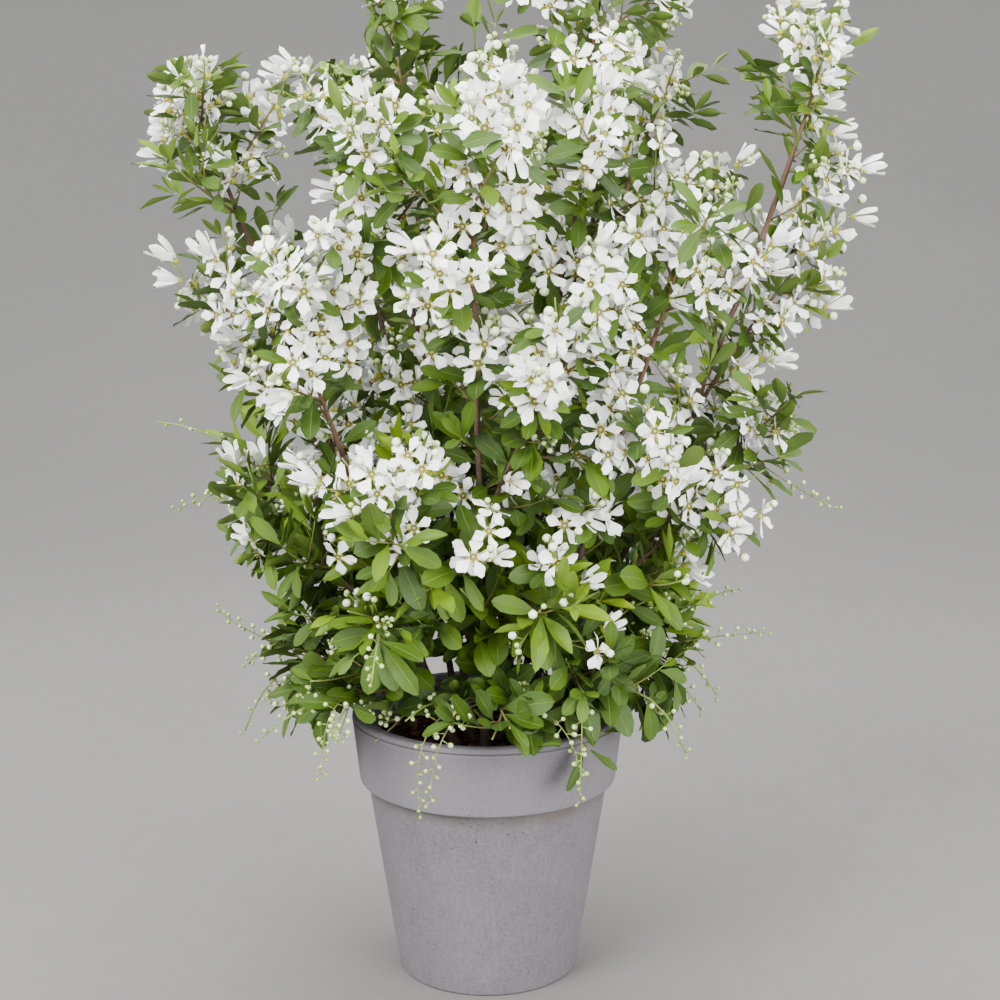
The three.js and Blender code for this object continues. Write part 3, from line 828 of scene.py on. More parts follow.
# youth is the place in the bark's colours, for a twig's foot and tip
twigPlan = {
    "thick": 1.5,  # of a shoot at its foot
    "thin": 0.75,
    "fade": 0.8,
    "youth": {"leader": 0.45, "side": 0.6, "tip": 1.0, "budTip": 1.3},
    "uneven": 0.03,  # of a shoot's length
    "along": (0.14, 0.62, 0.1, 0.6),  # where side twigs begin, the stretch they share, and its unevenness
    "longFrom": 130,  # from this length on a shoot has one more side twig
    "sideThick": (0.95, 0.55),
    "sideYouth": (0.7, 1.0),
    "sideRise": 0.18,
    "sideBuds": 0.5,
    "sideTwigs": {True: 3, False: 2},  # on a leader and on a shoot
    "topTwigs": (820, 2),  # above this height there are so many more
    "sideLong": (26, 56),
    "sideOpen": 58,
    "sideBloom": ((780, 900), (0.86, 0.5)),
    "spurStep": 22,
    "spurLong": (28, 84),
    "spurOpen": (50, 72),
    "spurBloom": 0.76,
    "spurYoung": 0.15,
    "spurThick": (1.0, 0.55),
    "spurYouth": (0.6, 1.0),
    "spurRise": (0.25, 0.12),
    "spurFrom": (4, 20),
    "spurHeights": (370, 430),  # above these a limb has short twigs, and blossom on them
    "leftShoulder": (-120, 932),  # left of this place nothing stands above this height
}
bloomPlan = {
    "leastHeight": 350,
    "opens": ((430, 570, 760, 900), (0.1, 1.0, 1.0, 0.66)),  # the share of flowers that open
    "radius": (18.5, 23),
    "apart": 19,
    "step": 7.8,
    "faces": (0.6, 0.75, 0.16),  # out from the twig, away from the plant's middle, and up
    "loose": 0.16,
    "within": (0.995, 1.01),  # share of the crown's outline, for a flower's middle and its rim
    "rimAt": (5, 0.85),  # forward, and a share of the radius upward
    "leans": (0.65, 0.35),  # a stalk goes out from the twig and a little to where the flower faces
    "stalkEnd": (3.4, 1.6),  # behind a flower's middle, and how far the stalk bends outward
    "stalkYouth": 0.55,
    "fullKinds": 4,  # the kinds of flower that are fully open, before the half open one
    "halfOpen": (0.12, 0.5, 0.8),  # chance, chance at the end of a raceme, and size
    "stalk": (7, 14),
    "stalkRadii": (0.55, 0.5, 0.75),
    "open": (74, 30),  # degrees, at a raceme's foot and at its tip
    "sway": 8,
    "budSize": (8.6, 3.4),
    "budSpread": (0.88, 1.12),
    "budSizeAlone": 0.66,  # on racemes without an open flower
    "budTone": {True: 0.5, False: 0.25},  # of the first bud, on such a raceme and on others
    "budRise": 0.25,
    "budStalk": (8.0, 3.5),
    "budStalkRadii": (0.45, 0.5),
    "budStalkYouth": 0.7,
    "budRacemes": (0.45, 0.35),  # share of the leafy shoots that carry buds
    "rimRacemes": 0.35,
    "hangs": 60,
    "budCounts": {"tip": (1, 6), "shortTip": (1, 4), "raceme": (8, 13), "long": (12, 17)},
    "longThick": (0.95, 0.4),
    "longYouth": (0.75, 1.0),
    "longBare": 0.4,  # the share of a long raceme before its first bud
    # long racemes over the rim and out at the sides: share of the line, turn, distance past its tip, and the
    # heights of the bend and of the end
    "longRacemes": {
        "spray_middle_front_low": ((0.4, -28, 14, 340, 238), (0.55, -19, 14, 346, 246),
                                   (0.5, 16, 14, 342, 268)),
        "spray_right_front_low": ((0.5, -20, 14, 342, 250),),
        "spray_left_front_low": ((0.6, 8, 14, 344, 262),),
        "spray_right_leader_low": ((0.8, -4, 92, 372, 372), (0.7, 12, 60, 400, 405)),
        "spray_right_leader_mid": ((0.8, 3, 55, 520, 492),),
        "spray_left_arch_low": ((0.7, 4, 66, 350, 386), (0.8, -9, 60, 330, 300)),
        "spray_left_arch_mid": ((0.75, -3, 60, 500, 476),),
    },
}


class Path:
    # a twig's middle line, with a side direction carried along it
    def __init__(self, points):
        self.points = np.asarray(points, float)
        self.runs = runsAlong(self.points)
        self.length = self.runs[-1]
        self.ways = unit(np.gradient(self.points, axis=0))
        side = np.cross(self.ways[0], (0.31, 0.87, 0.38))
        sides = []
        for way in self.ways:
            side = unit(side - way * (side @ way))
            sides.append(side)
        self.sides = np.array(sides)

    def at(self, run):
        return np.array([np.interp(run, self.runs, self.points[:, i]) for i in range(3)])

    def outward(self, run, turn, openAngle):
        i = int(np.clip(np.searchsorted(self.runs, run), 1, len(self.runs) - 1))
        return self.at(run), openFrom(self.ways[i], self.sides[i], turn, openAngle)


def bentPath(foot, bend, tip, count=6):
    return Path(Bend(foot, bend, tip).at(np.linspace(0, 1, count)))


class Crowd:
    # places that are taken, each with a radius, kept in cells that are wider than two radii
    cell = 22.0

    def __init__(self, places=(), radii=()):
        self.cells = {}
        for place, radius in zip(places, radii):
            self.add(place, radius)

    def add(self, place, radius):
        key = tuple(int(c // self.cell) for c in place)
        self.cells.setdefault(key, []).append((*place, radius))

    def isClear(self, points, radius):
        for x, y, z in np.atleast_2d(points):
            cell = [int(c // self.cell) for c in (x, y, z)]
            for key in itertools.product(*((c - 1, c, c + 1) for c in cell)):
                for a, b, c, taken in self.cells.get(key, ()):
                    if (a - x) ** 2 + (b - y) ** 2 + (c - z) ** 2 <= (taken + radius) ** 2:
                        return False
        return True


twigs, stalks, flowers, buds, leafWishes, leaves = [], [], [], [], [], []
flowerCrowd, leafCrowd = Crowd(), Crowd()
free = limbPlaces[:, 2] > soilTop + 20
limbCrowd = Crowd(limbPlaces[free], limbRadii[free])


def awayFrom(place):
    # out from the plant's middle, and less so near it
    flat = np.array([place[0], place[1], 0.0])
    return flat / max(60.0, np.linalg.norm(flat))


def growOn(points, onward, rise):
    # more points in the same direction, rising or hanging a little
    points, steps = list(points), grow["onwardSteps"]
    way = unit(points[-1] - points[-2])
    for _ in range(steps):
        way = unit(way + rise * up / steps)
        points.append(points[-1] + way * onward / steps)
    return points


def overShoulder(points):
    aside, top = twigPlan["leftShoulder"]
    return (points[:, 0] < aside) & (points[:, 2] > top)


def inReach(index, points, share=1.0, room=grow["room"]):
    points = np.atleast_2d(points)
    if overShoulder(points).any() or nearPot(points, 2).any():
        return False
    return crownShare(points).max() < share and (index is None or roomAt(index, points).min() > room)


def hidesRim(points):
    front, half, above = leafPlan["rimShows"]
    split, higher = leafPlan["soilShows"]
    x, y, z = points.T
    clear = pot["height"] + np.where(x < split, higher, above)
    return bool(((z < clear) & (y < -front) & (np.abs(x) < half)).any())


def budReach(place):
    return float(np.interp(place[2], *grow["budReach"]))


def triedTurns(turn):
    # turns round a twig, one after another until something fits there
    return [turn + k * math.radians(grow["tryTurn"]) for k in range(grow["tries"])]


def addTwig(path, thick, youth, fade=1.0):
    shares = path.runs / path.length
    twigs.append((path.points, mix(*thick, shares ** fade), np.minimum(1, mix(*youth, shares))))


def growFlower(index, place, out, isLast, random):
    # False where a flower has no room
    fromTwig, fromMiddle, rise = bloomPlan["faces"]
    facing = fromTwig * out + fromMiddle * awayFrom(place) + rise * up
    facing = unit(facing + random.normal(0, bloomPlan["loose"], 3))
    radius = random.uniform(*bloomPlan["radius"])
    outShare, facingShare = bloomPlan["leans"]
    head = place + unit(outShare * out + facingShare * facing) * random.uniform(*bloomPlan["stalk"])
    forward, wide = bloomPlan["rimAt"]
    rim = head + facing * forward + radius * wide * unit(np.cross(facing, [up, (1, 0, 0), (0, 1, 0)]))
    if not all(inReach(index, points, share) for points, share in zip((head, rim), bloomPlan["within"])):
        return False
    if not flowerCrowd.isClear(head, 0.5 * bloomPlan["apart"]):
        return False
    flowerCrowd.add(head, 0.5 * bloomPlan["apart"])
    often, oftenLast, small = bloomPlan["halfOpen"]
    half = random.random() < often or (isLast and random.random() < oftenLast)
    spin, tone, fullKinds = random.uniform(0, fullTurn), random.random(), bloomPlan["fullKinds"]
    kind = fullKinds if half else int(random.integers(0, fullKinds))
    flowers.append((head, facing, spin, radius * (small if half else 1.0), tone, kind))
    behind, bow = bloomPlan["stalkEnd"]
    end = head - facing * behind
    bend = mix(place, end, 0.5) + out * bow
    stalks.append(([place, bend, end], bloomPlan["stalkRadii"], bloomPlan["stalkYouth"]))
    return True


def growBud(index, place, out, late, alone, random):
    # late is 0 for a raceme's first bud and goes to 1, where the buds are small and green
    large, small = bloomPlan["budSize"]
    if alone:
        large *= bloomPlan["budSizeAlone"]
    size = mix(large, small, late) * random.uniform(*bloomPlan["budSpread"])
    facing = unit(out + bloomPlan["budRise"] * up)
    tip = place + facing * mix(*bloomPlan["budStalk"], late)
    if not inReach(index, tip, budReach(tip)):
        return False
    buds.append((tip, facing, random.uniform(0, 6), size, mix(bloomPlan["budTone"][alone], 1.0, late), 0))
    stalks.append(([place, tip + unit(out) * 0.8], bloomPlan["budStalkRadii"], bloomPlan["budStalkYouth"]))
    return True


def growRaceme(index, path, start, opened, budCount, random):
    # open flowers from the start on, and buds after them to the tip
    budded = int(random.integers(*bloomPlan["budCounts"][budCount]))
    turn = random.uniform(0, fullTurn)
    count = opened + budded
    for i in range(count):
        share = i / max(1, count - 1)
        run = mix(start, path.length - 0.5, share ** 0.92)
        if i < opened and random.random() > np.interp(path.at(run)[2], *bloomPlan["opens"]):
            continue
        for angle in triedTurns(turn + i * golden):
            sway = random.uniform(-bloomPlan["sway"], bloomPlan["sway"])
            openAngle = math.radians(mix(*bloomPlan["open"], share) + sway)
            place, out = path.outward(run, angle, openAngle)
            if i < opened:
                grown = growFlower(index, place, out, i == opened - 1, random)
            else:
                grown = growBud(index, place, out, (i - opened) / max(1, budded), not opened, random)
            if grown:
                break


def dressTwig(index, path, kind, random, young, short=False):
    # leaves along a twig and round its tip, and what flowers there
    length, height = path.length, path.points[-1][2]
    leafEnd = leafPlan["leafyTo"][kind] * length
    grown = float(np.interp(height, *leafPlan["sizes"])) * (leafPlan["onBlossom"] if kind == "blossom" else 1)
    lesser = leafPlan["onShort"] if short else 1.0
    turn = random.uniform(0, fullTurn)
    runs = np.arange(leafPlan["first"][short], max(8, leafEnd - 2), leafPlan["step"] * lesser)
    # the tone differs at random, young leaves are paler, and leaves low down are darker as painted shade
    ageAndShade = random.uniform(*(leafPlan["youngTones"] if young else leafPlan["tones"][height > grow["lowDown"]]))
    for i, run in enumerate(runs):
        share = run / length
        long = random.uniform(*leafPlan["long"]) * (grown * lesser) * mix(1.0, leafPlan["smaller"], share)
        openAngle = math.radians(mix(*leafPlan["open"], share))
        run += random.uniform(*leafPlan["unevenRun"])
        tone = ageAndShade + leafPlan["paler"] * share + random.uniform(*leafPlan["toneSpread"])
        leafWishes.append((index, path, run, turn + i * golden, openAngle, long, min(1, tone)))
    leafy = kind == "leafy"
    whorl = leafPlan["whorl"] + leafy - short
    for i in range(whorl):
        long = random.uniform(*leafPlan["tipLong" if leafy else "long"])
        long *= grown * (leafPlan["atShortTip"] if short else 1.0)
        angle = turn + (len(runs) + 0.5) * golden + i * fullTurn / whorl
        angle += random.uniform(*leafPlan["unevenTurn"])
        openAngle = math.radians(random.uniform(*leafPlan["tipOpen"]["leafy" if leafy else "blossom"]))
        tone = ageAndShade + leafPlan["tipPaler"][leafy] + random.uniform(*leafPlan["tipToneSpread"])
        run = min(leafEnd, length - 1) - random.uniform(0, 3)
        leafWishes.append((index, path, run, angle, openAngle, long, float(np.clip(tone, 0, 1))))
    if kind == "blossom":
        opened = max(2, round((length - leafEnd) / bloomPlan["step"]))
        growRaceme(index, path, leafEnd + 3, opened, "shortTip" if short else "tip", random)
    if kind == "buds":
        growRaceme(index, path, leafEnd + 8, 0, "raceme", random)


def chooseKind(flowering, height, random, chance=1.0):
    if flowering and random.random() < chance:
        return "blossom"
    return "buds" if random.random() < bloomPlan["budRacemes"][height > grow["lowDown"]] else "leafy"


def growSideTwig(index, path, run, flowering, height, young, random):
    turn = random.uniform(0, fullTurn)
    long = random.uniform(*twigPlan["sideLong"])
    for angle in triedTurns(turn):
        place, out = path.outward(run, angle, math.radians(twigPlan["sideOpen"]))
        tip = place + out * long + up * twigPlan["sideRise"] * long
        if inReach(index, tip, grow["within"]["side"]) and limbCrowd.isClear(tip, grow["clear"]["side"]):
            break
    else:
        return
    side = bentPath(place, place + out * 0.5 * long, tip)
    addTwig(side, twigPlan["sideThick"], twigPlan["sideYouth"])
    kind = chooseKind(flowering, height, random, np.interp(height, *twigPlan["sideBloom"]))
    if kind == "buds" and random.random() < twigPlan["sideBuds"]:
        kind = "leafy"
    dressTwig(index, side, kind, random, young, short=True)


def growShoot(index, line, shoot, random):
    curve, isLeader = line["curve"], shoot["leader"]
    end = curve.at(1.0) if isLeader else shoot["tip"]
    isHigh = end[2] > grow["lowDown"]
    flowering = shoot["flowers"] and end[2] > bloomPlan["leastHeight"]
    kind = chooseKind(flowering, end[2], random)
    hanging = end[None] - up * bloomPlan["hangs"]
    if kind == "buds" and hidesRim(hanging) and random.random() > bloomPlan["rimRacemes"]:
        kind = "leafy"
    young = random.random() < leafPlan["youngShoots"][isHigh] * leafPlan["youngShare"][kind == "blossom"]
    onward = grow["onward"][0] * random.uniform(*grow["onward"][1:])
    reach, rise = grow["within"]["shoot"], random.uniform(*grow["onwardRise"])
    if kind == "buds":
        onward, reach = random.uniform(*grow["budOnward"]), budReach(end) - grow["budMargin"]
        rise = random.uniform(*grow["budOnwardRise"][isHigh])
    if isLeader:
        points = curve.at(np.linspace(shoot["start"], 1, grow["places"]["leader"]))
        thick = line["radiusAt"](shoot["start"])
    else:
        long = np.linalg.norm(shoot["tip"] - shoot["root"])
        bend = shoot["root"] + shoot["direction"] * 0.5 * long
        bend += random.normal(0, twigPlan["uneven"], 3) * long
        points = bentPath(shoot["root"], bend, shoot["tip"], grow["places"]["shoot"]).points
        thick = twigPlan["thick"]
    while onward > grow["shortest"]:
        if inReach(index, growOn(points, onward, rise)[-1], reach, grow["tipRoom"]):
            break
        onward *= grow["shorter"]
    points = np.array(growOn(points, onward, rise))
    path = Path(points[~overShoulder(points)])
    youth = twigPlan["youth"]
    youth = (youth["leader" if isLeader else "side"], youth["budTip" if kind == "buds" else "tip"])
    addTwig(path, (thick, twigPlan["thin"]), youth, twigPlan["fade"])
    dressTwig(index, path, kind, random, young)
    count = twigPlan["sideTwigs"][isLeader]
    if end[2] > twigPlan["topTwigs"][0]:
        count += twigPlan["topTwigs"][1]
    first, stretch, *uneven = twigPlan["along"]
    for i in range(count + (path.length > twigPlan["longFrom"])):
        run = path.length * (first + stretch * (i + random.uniform(*uneven)) / (count + 0.5))
        growSideTwig(index, path, run, flowering, end[2], young, random)


def growSpurs(line):
    # short twigs all along a limb fill the crown's inside
    random = np.random.default_rng(grow["seeds"]["spurs"] + line["seed"])
    limb = Path(line["curve"].at(np.linspace(0.02, line["entry"], grow["places"]["limb"])))
    turn = random.uniform(0, fullTurn)
    leafHeight, bloomHeight = twigPlan["spurHeights"]
    bent, lifted = twigPlan["spurRise"]
    start = random.uniform(*twigPlan["spurFrom"])
    for i, run in enumerate(np.arange(start, limb.length - 8, twigPlan["spurStep"])):
        if limb.at(run)[2] < leafHeight:
            continue
        long = random.uniform(*twigPlan["spurLong"])
        for angle in triedTurns(turn + i * golden):
            place, out = limb.outward(run, angle, math.radians(random.uniform(*twigPlan["spurOpen"])))
            tip = place + unit(out + bent * up) * long + up * lifted * long
            if inReach(None, tip, grow["within"]["spur"]) and limbCrowd.isClear(tip, grow["clear"]["spur"]):
                break
        else:
            continue
        spur = bentPath(place, place + unit(out + 0.1 * up) * 0.55 * long, tip)
        addTwig(spur, twigPlan["spurThick"], twigPlan["spurYouth"])
        blooms = place[2] > bloomHeight and random.random() < twigPlan["spurBloom"] * line["bloom"]
        young = random.random() < twigPlan["spurYoung"]
        dressTwig(None, spur, "blossom" if blooms else "leafy", random, young, short=True)


def growLongRacemes(line):
    random = np.random.default_rng(grow["seeds"]["longRacemes"] + line["seed"])
    tip = line["curve"].at(1.0)
    turn = math.degrees(math.atan2(tip[1], tip[0]))
    for share, aside, past, bendHeight, endHeight in bloomPlan["longRacemes"].get(line["spray"], ()):
        reach = np.hypot(tip[0], tip[1]) + past + random.uniform(0, 12)
        bend = polar(turn + aside, mix(reach, 200, 0.0 if past < 20 else 0.4), bendHeight)
        end = polar(turn + aside + random.uniform(-5, 5), reach, endHeight + random.uniform(-8, 12))
        path = bentPath(line["curve"].at(share), bend, end, grow["places"]["longRaceme"])
        if nearPot(path.points).any():
            continue
        addTwig(path, bloomPlan["longThick"], bloomPlan["longYouth"])
        growRaceme(None, path, bloomPlan["longBare"] * path.length, 0, "long", random)


def growLeaves():
    random = np.random.default_rng(grow["seeds"]["leaves"])
    upward, outward = leafPlan["faces"]
    along, drops = leafPlan["spots"]
    room, (youngFrom, youngSag) = leafPlan["room"], leafPlan["youngSag"]
    for index, path, run, turn, openAngle, long, tone in leafWishes:
        roll = random.normal(0, leafPlan["roll"])
        sag = random.uniform(0.0, leafPlan["sag"]) * (1.0 if tone < youngFrom else youngSag)
        for k, angle in enumerate(triedTurns(turn)):
            place, out = path.outward(run, angle, openAngle)
            size = long * grow["tryShrink"] ** k
            direction = unit(out - sag * 0.5 * up)
            face = upward * up + outward * awayFrom(place)
            normal = face - direction * (face @ direction)
            if np.linalg.norm(normal) < 0.15:
                normal = np.cross(direction, (1, 0.3, 0))
            normal = unit(normal)
            normal = math.cos(roll) * normal + math.sin(roll) * np.cross(direction, normal)
            spots = place + np.outer(along, direction) * size
            spots -= np.outer(drops, normal) * size
            if not inReach(index, spots) or not flowerCrowd.isClear(spots, room):
                continue
            overSoil = place[0] < leafPlan["soilShows"][0]
            if hidesRim(spots) and (overSoil or random.random() > leafPlan["hanging"]):
                continue
            if not leafCrowd.isClear(spots, room) or not limbCrowd.isClear(spots[1:], room):
                continue
            for spot in spots:
                leafCrowd.add(spot, leafPlan["taken"])
            kinds = leafPlan["kinds"]
            kind = int(random.integers(0, kinds)) + (kinds if tone > leafPlan["youngTone"] else 0)
            leaves.append((place, direction, normal, size, tone, kind))
            break


for index, line in enumerate(lines):
    random = np.random.default_rng(grow["seeds"]["shoots"] + line["seed"])
    for shoot in line["shoots"]:
        growShoot(index, line, shoot, random)
for line in lines:
    growLongRacemes(line)
for line in lines:
    if line["limb"]:
        growSpurs(line)
growLeaves()
print(len(twigs), "twigs,", len(leaves), "leaves,", len(flowers), "flowers,", len(buds), "buds")


# bark, twigs and stalks: tubes with ridges and knots along the grown lines

class Heap:
    # tubes that are joined in one mesh
    def __init__(self):
        self.points, self.faces, self.corners, self.youth = [], [], [], []

    def addTube(self, points, radii, youth, sides, swell=1.0):
        line = Path(points)
        angles = np.linspace(0, fullTurn, sides, endpoint=False)[None, :, None]
        across = np.cross(line.ways, line.sides)
        around = np.cos(angles) * line.sides[:, None] + np.sin(angles) * across[:, None]
        radius = np.asarray(radii, float)[:, None] * np.ones(sides) * swell
        rings = line.points[:, None] + radius[..., None] * around
        faces, corners = tubeSurface(sides, line.runs * mm, len(self.points))
        self.points += (rings.reshape(-1, 3) * mm).tolist()
        self.youth += np.repeat(np.asarray(youth) * np.ones(len(line.points)), sides).tolist()
        self.faces += faces
        self.corners += corners

    def finish(self, name, material):
        return meshObject(name, self.points, self.faces, material, {"youth": self.youth}, self.corners)


# colours from the oldest wood to the youngest
limbColours = [(0.0, (0.06, 0.042, 0.032)), (0.35, (0.11, 0.068, 0.05)), (0.6, (0.11, 0.055, 0.03)),
               (0.8, (0.13, 0.115, 0.03)), (1.0, (0.17, 0.25, 0.05))]
stalkColours = [(0.0, (0.15, 0.22, 0.04)), (0.6, (0.21, 0.3, 0.06)), (1.0, (0.28, 0.37, 0.11))]
cork = (0.24, 0.19, 0.14)
limbLook = {
    "slim": (90, 0.8),  # from this run on a limb is so much thinner than its solid
    "step": 7,
    "bend": 0.35,
    "below": 5.0,  # how far a stem goes down into the soil
    "past": 8,  # how far a limb goes on into its spray
    "ridges": ((3, 0.05, 1.0), (5, -0.09, 0.6)),  # waves round the limb, their twist and their share
    "ridge": 0.09,
    "knot": 0.16,
    "knotApart": 34,
    "knotLong": 4.0,
    "stem": {"sides": 14, "youth": (0.05, 0.5)},
    "bough": {"sides": 10, "youth": (0.3, 0.55)},
}


def unsettled(tree, value, drift, share):
    # the value moved up and down where the drift leaves its middle
    return plus(tree, value, times(tree, minus(tree, drift, 0.5), share), clamp=True)


def barkMaterial(name, colours, relief):
    bark, tree = newMaterial(name, 0.72, 0.3)
    youth, around = readNumber(tree, "youth"), ownMap(tree)
    grain = noise(tree, stretch(tree, around, (3.0, 90.0, 1.0)), 2.0, 4.0)
    tone = mottled(tree, (1, 1, 1), (0.5, 0.45, 0.42), 45.0, 320.0, 0.85)["Colour"]
    aged = colourRamp(tree, unsettled(tree, youth, grain, 0.25), colours)
    base = mixColours(tree, 0.6, aged, tone, "MULTIPLY")
    # pale corky dashes across the old bark
    dots = stepDown(tree, cells(tree, stretch(tree, around, (5.0, 160.0, 1.0)), 1.0), 0.12, 0.24)
    dashes = times(tree, dots, minus(tree, 0.8, youth, clamp=True))
    height = plus(tree, grain, times(tree, dashes, 0.6))
    return cover(bark, tint(tree, base, cork, dashes, 0.6), height, relief, 0.8)


def addLimb(heap, line, random):
    curve = line["curve"]
    kind = limbLook["stem" if line["isStem"] else "bough"]
    end = min(1.0, line["entry"] + limbLook["past"] / curve.length)
    count = max(6, round(curve.length * end / limbLook["step"]))
    shares = end * np.arange(count + 1) / count
    path = curve.at(shares)
    if line["isStem"]:
        path[0] -= (0, 0, limbLook["below"])
    path[1:-1] += random.normal(0, limbLook["bend"], path[1:-1].shape)
    angles = np.linspace(0, fullTurn, kind["sides"], endpoint=False)
    runs = shares * curve.length
    phases = random.uniform(0, fullTurn, 4)
    ridges = sum(share * np.sin(waves * angles[None] + twist * runs[:, None] + phase)
                 for (waves, twist, share), phase in zip(limbLook["ridges"], phases))
    knots = np.arange(random.uniform(8, 30), runs[-1], limbLook["knotApart"])
    bulge = sum(limbLook["knot"] * np.exp(-((runs - knot) / limbLook["knotLong"]) ** 2) for knot in knots)
    full, slim = limbLook["slim"]
    radii = line["radiusAt"](shares) * np.interp(runs, (0, full), (1.0, slim)) * (1 + bulge)
    youth = mix(*kind["youth"], shares / end)
    heap.addTube(path, radii, youth, kind["sides"], 1 + limbLook["ridge"] * ridges)


def buildLimbs():
    random = np.random.default_rng(5)
    heap = Heap()
    for line in lines:
        if line["limb"]:
            addLimb(heap, line, random)
    made = heap.finish("stems_and_boughs", barkMaterial("reddishBark", limbColours, 0.0012))
    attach(made, "root")
    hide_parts(*[node for node in frame["nodes"] if node.startswith(("stem_", "bough_"))])


def buildTwigs():
    heap = Heap()
    for points, radii, youth in twigs:
        heap.addTube(points, radii, youth, 6 if radii[0] > 1.4 else 5)
    made = heap.finish("twigs", barkMaterial("greenTwigs", limbColours, 0.0006))
    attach(made, "root")
    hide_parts(*[node for node in frame["nodes"] if node.startswith("spray_")])


def buildStalks():
    heap = Heap()
    for points, radii, youth in stalks:
        heap.addTube(points, radii, youth, 4)
    made = heap.finish("flower_stalks", barkMaterial("paleStalks", stalkColours, 0.0003))
    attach(made, "root")


buildLimbs()
buildTwigs()
buildStalks()
print("limbs, twigs and stalks ready")


# one tree of nodes sets a shape on every point of a mesh, turned and sized by the point's own numbers

def scatterTree():
    tree = bpy.data.node_groups.new("growOnPoints", "GeometryNodeTree")
    for label, kind in (("Points", "Geometry"), ("Shapes", "Collection"), ("Finish", "Material"),
                        ("Sway", "Float"), ("Seed", "Int")):
        tree.interface.new_socket(label, in_out="INPUT", socket_type="NodeSocket" + kind)
    tree.interface.new_socket("Geometry", in_out="OUTPUT", socket_type="NodeSocketGeometry")
    given = addNode(tree, "NodeGroupInput").outputs

    def pointNumber(name, kind):
        node = addNode(tree, "GeometryNodeInputNamedAttribute", {"Name": name}, data_type=kind)
        return node.outputs["Attribute"]

    shapes = addNode(tree, "GeometryNodeCollectionInfo", {
        "Collection": given["Shapes"], "Separate Children": True, "Reset Children": True})
    swing = addNode(tree, "FunctionNodeRandomValue", {
        "Min": (-1, -1, -1), "Max": (1, 1, 1), "Seed": given["Seed"]}, data_type="FLOAT_VECTOR")
    swayed = addNode(tree, "ShaderNodeVectorMath", {0: swing.outputs["Value"], "Scale": given["Sway"]},
                     operation="SCALE")
    turned = addNode(tree, "ShaderNodeVectorMath", {0: pointNumber("turn", "FLOAT_VECTOR"),
                                                    1: swayed.outputs["Vector"]}, operation="ADD")
    rotation = addNode(tree, "FunctionNodeEulerToRotation", {"Euler": turned.outputs["Vector"]})
    placed = addNode(tree, "GeometryNodeInstanceOnPoints", {
        "Points": given["Points"], "Instance": shapes.outputs["Instances"], "Pick Instance": True,
        "Instance Index": pointNumber("kind", "INT"), "Rotation": rotation.outputs["Rotation"],
        "Scale": pointNumber("size", "FLOAT")})
    real = addNode(tree, "GeometryNodeRealizeInstances", {"Geometry": placed.outputs["Instances"]})
    finish = addNode(tree, "GeometryNodeSetMaterial", {"Geometry": real.outputs["Geometry"],
                                                       "Material": given["Finish"]})
    addNode(tree, "NodeGroupOutput", {"Geometry": finish.outputs["Geometry"]})
    return tree


growTree = scatterTree()
pieceLimit = 190000  # triangles


def eulers(right, forward, upward):
    # the turns that bring a shape's own X, Y and Z to these directions
    roll, pitch = np.arctan2(forward[:, 2], upward[:, 2]), np.arcsin(np.clip(-right[:, 2], -1, 1))
    return np.stack([roll, pitch, np.arctan2(right[:, 1], right[:, 0])], axis=1)


def facingTurns(facing, spin):
    # the turns that bring a shape's own Z to where it faces, with a spin round that
    level = unit(np.cross(facing, np.where(np.abs(facing[:, 2:]) > 0.9, (0, 1, 0), (0, 0, 1))))
    right = np.cos(spin)[:, None] * level + np.sin(spin)[:, None] * np.cross(facing, level)
    return eulers(right, np.cross(facing, right), facing)


def growPieces(name, slot, shapes, material, *columns, **settings):
    # the same in as many pieces as keep each one light
    heavy = max(sum(len(face) - 2 for face in faces) for _, faces, _ in shapes)
    parts = math.ceil(len(columns[0]) * heavy / pieceLimit)
    for part in range(parts):
        label = name if parts == 1 else f"{name}_{part + 1}"
        growPiece(label, slot, shapes, material, *(column[part::parts] for column in columns), **settings)


def growPiece(name, slot, shapes, material, places, turns, sizes, tones, kinds, sway=0.0, seed=1):
    shelf = bpy.data.collections.new(name + "_shapes")
    bpy.context.scene.collection.children.link(shelf)
    for i, (points, faces, corners) in enumerate(shapes):
        shape = meshObject(f"{name}_shape_{i}", points, faces, corners=corners)
        bpy.context.scene.collection.objects.unlink(shape)
        shelf.objects.link(shape)
    data = bpy.data.meshes.new(name + "_points")
    data.from_pydata((np.asarray(places) * mm).tolist(), [], [])
    addNumbers(data, "turn", "FLOAT_VECTOR", turns)
    addNumbers(data, "size", "FLOAT", np.asarray(sizes, np.float32) * mm)
    addNumbers(data, "tone", "FLOAT", tones)
    addNumbers(data, "kind", "INT", kinds)
    seedbed = linkObject(name + "_points", data)
    modifier = seedbed.modifiers.new("grow", "NODES")
    modifier.node_group = growTree
    values = {"Shapes": shelf, "Finish": material, "Sway": sway, "Seed": seed}
    for item in growTree.interface.items_tree:
        if item.in_out == "INPUT" and item.name in values:
            modifier[item.identifier] = values[item.name]
    grown = seedbed.evaluated_get(bpy.context.evaluated_depsgraph_get())
    whole = bpy.data.meshes.new_from_object(grown)
    whole.name = name
    for shape in list(shelf.objects):
        bpy.data.objects.remove(shape)
    bpy.data.collections.remove(shelf)
    bpy.data.objects.remove(seedbed)
    for label in ("turn", "size", "kind"):
        if label in whole.attributes:
            whole.attributes.remove(whole.attributes[label])
    whole.polygons.foreach_set("use_smooth", [True] * len(whole.polygons))
    made = linkObject(name, whole)
    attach(made, "root")
    triangles = sum(len(face.vertices) - 2 for face in whole.polygons)
    print(name, "has", len(places), "copies and", triangles, "triangles")


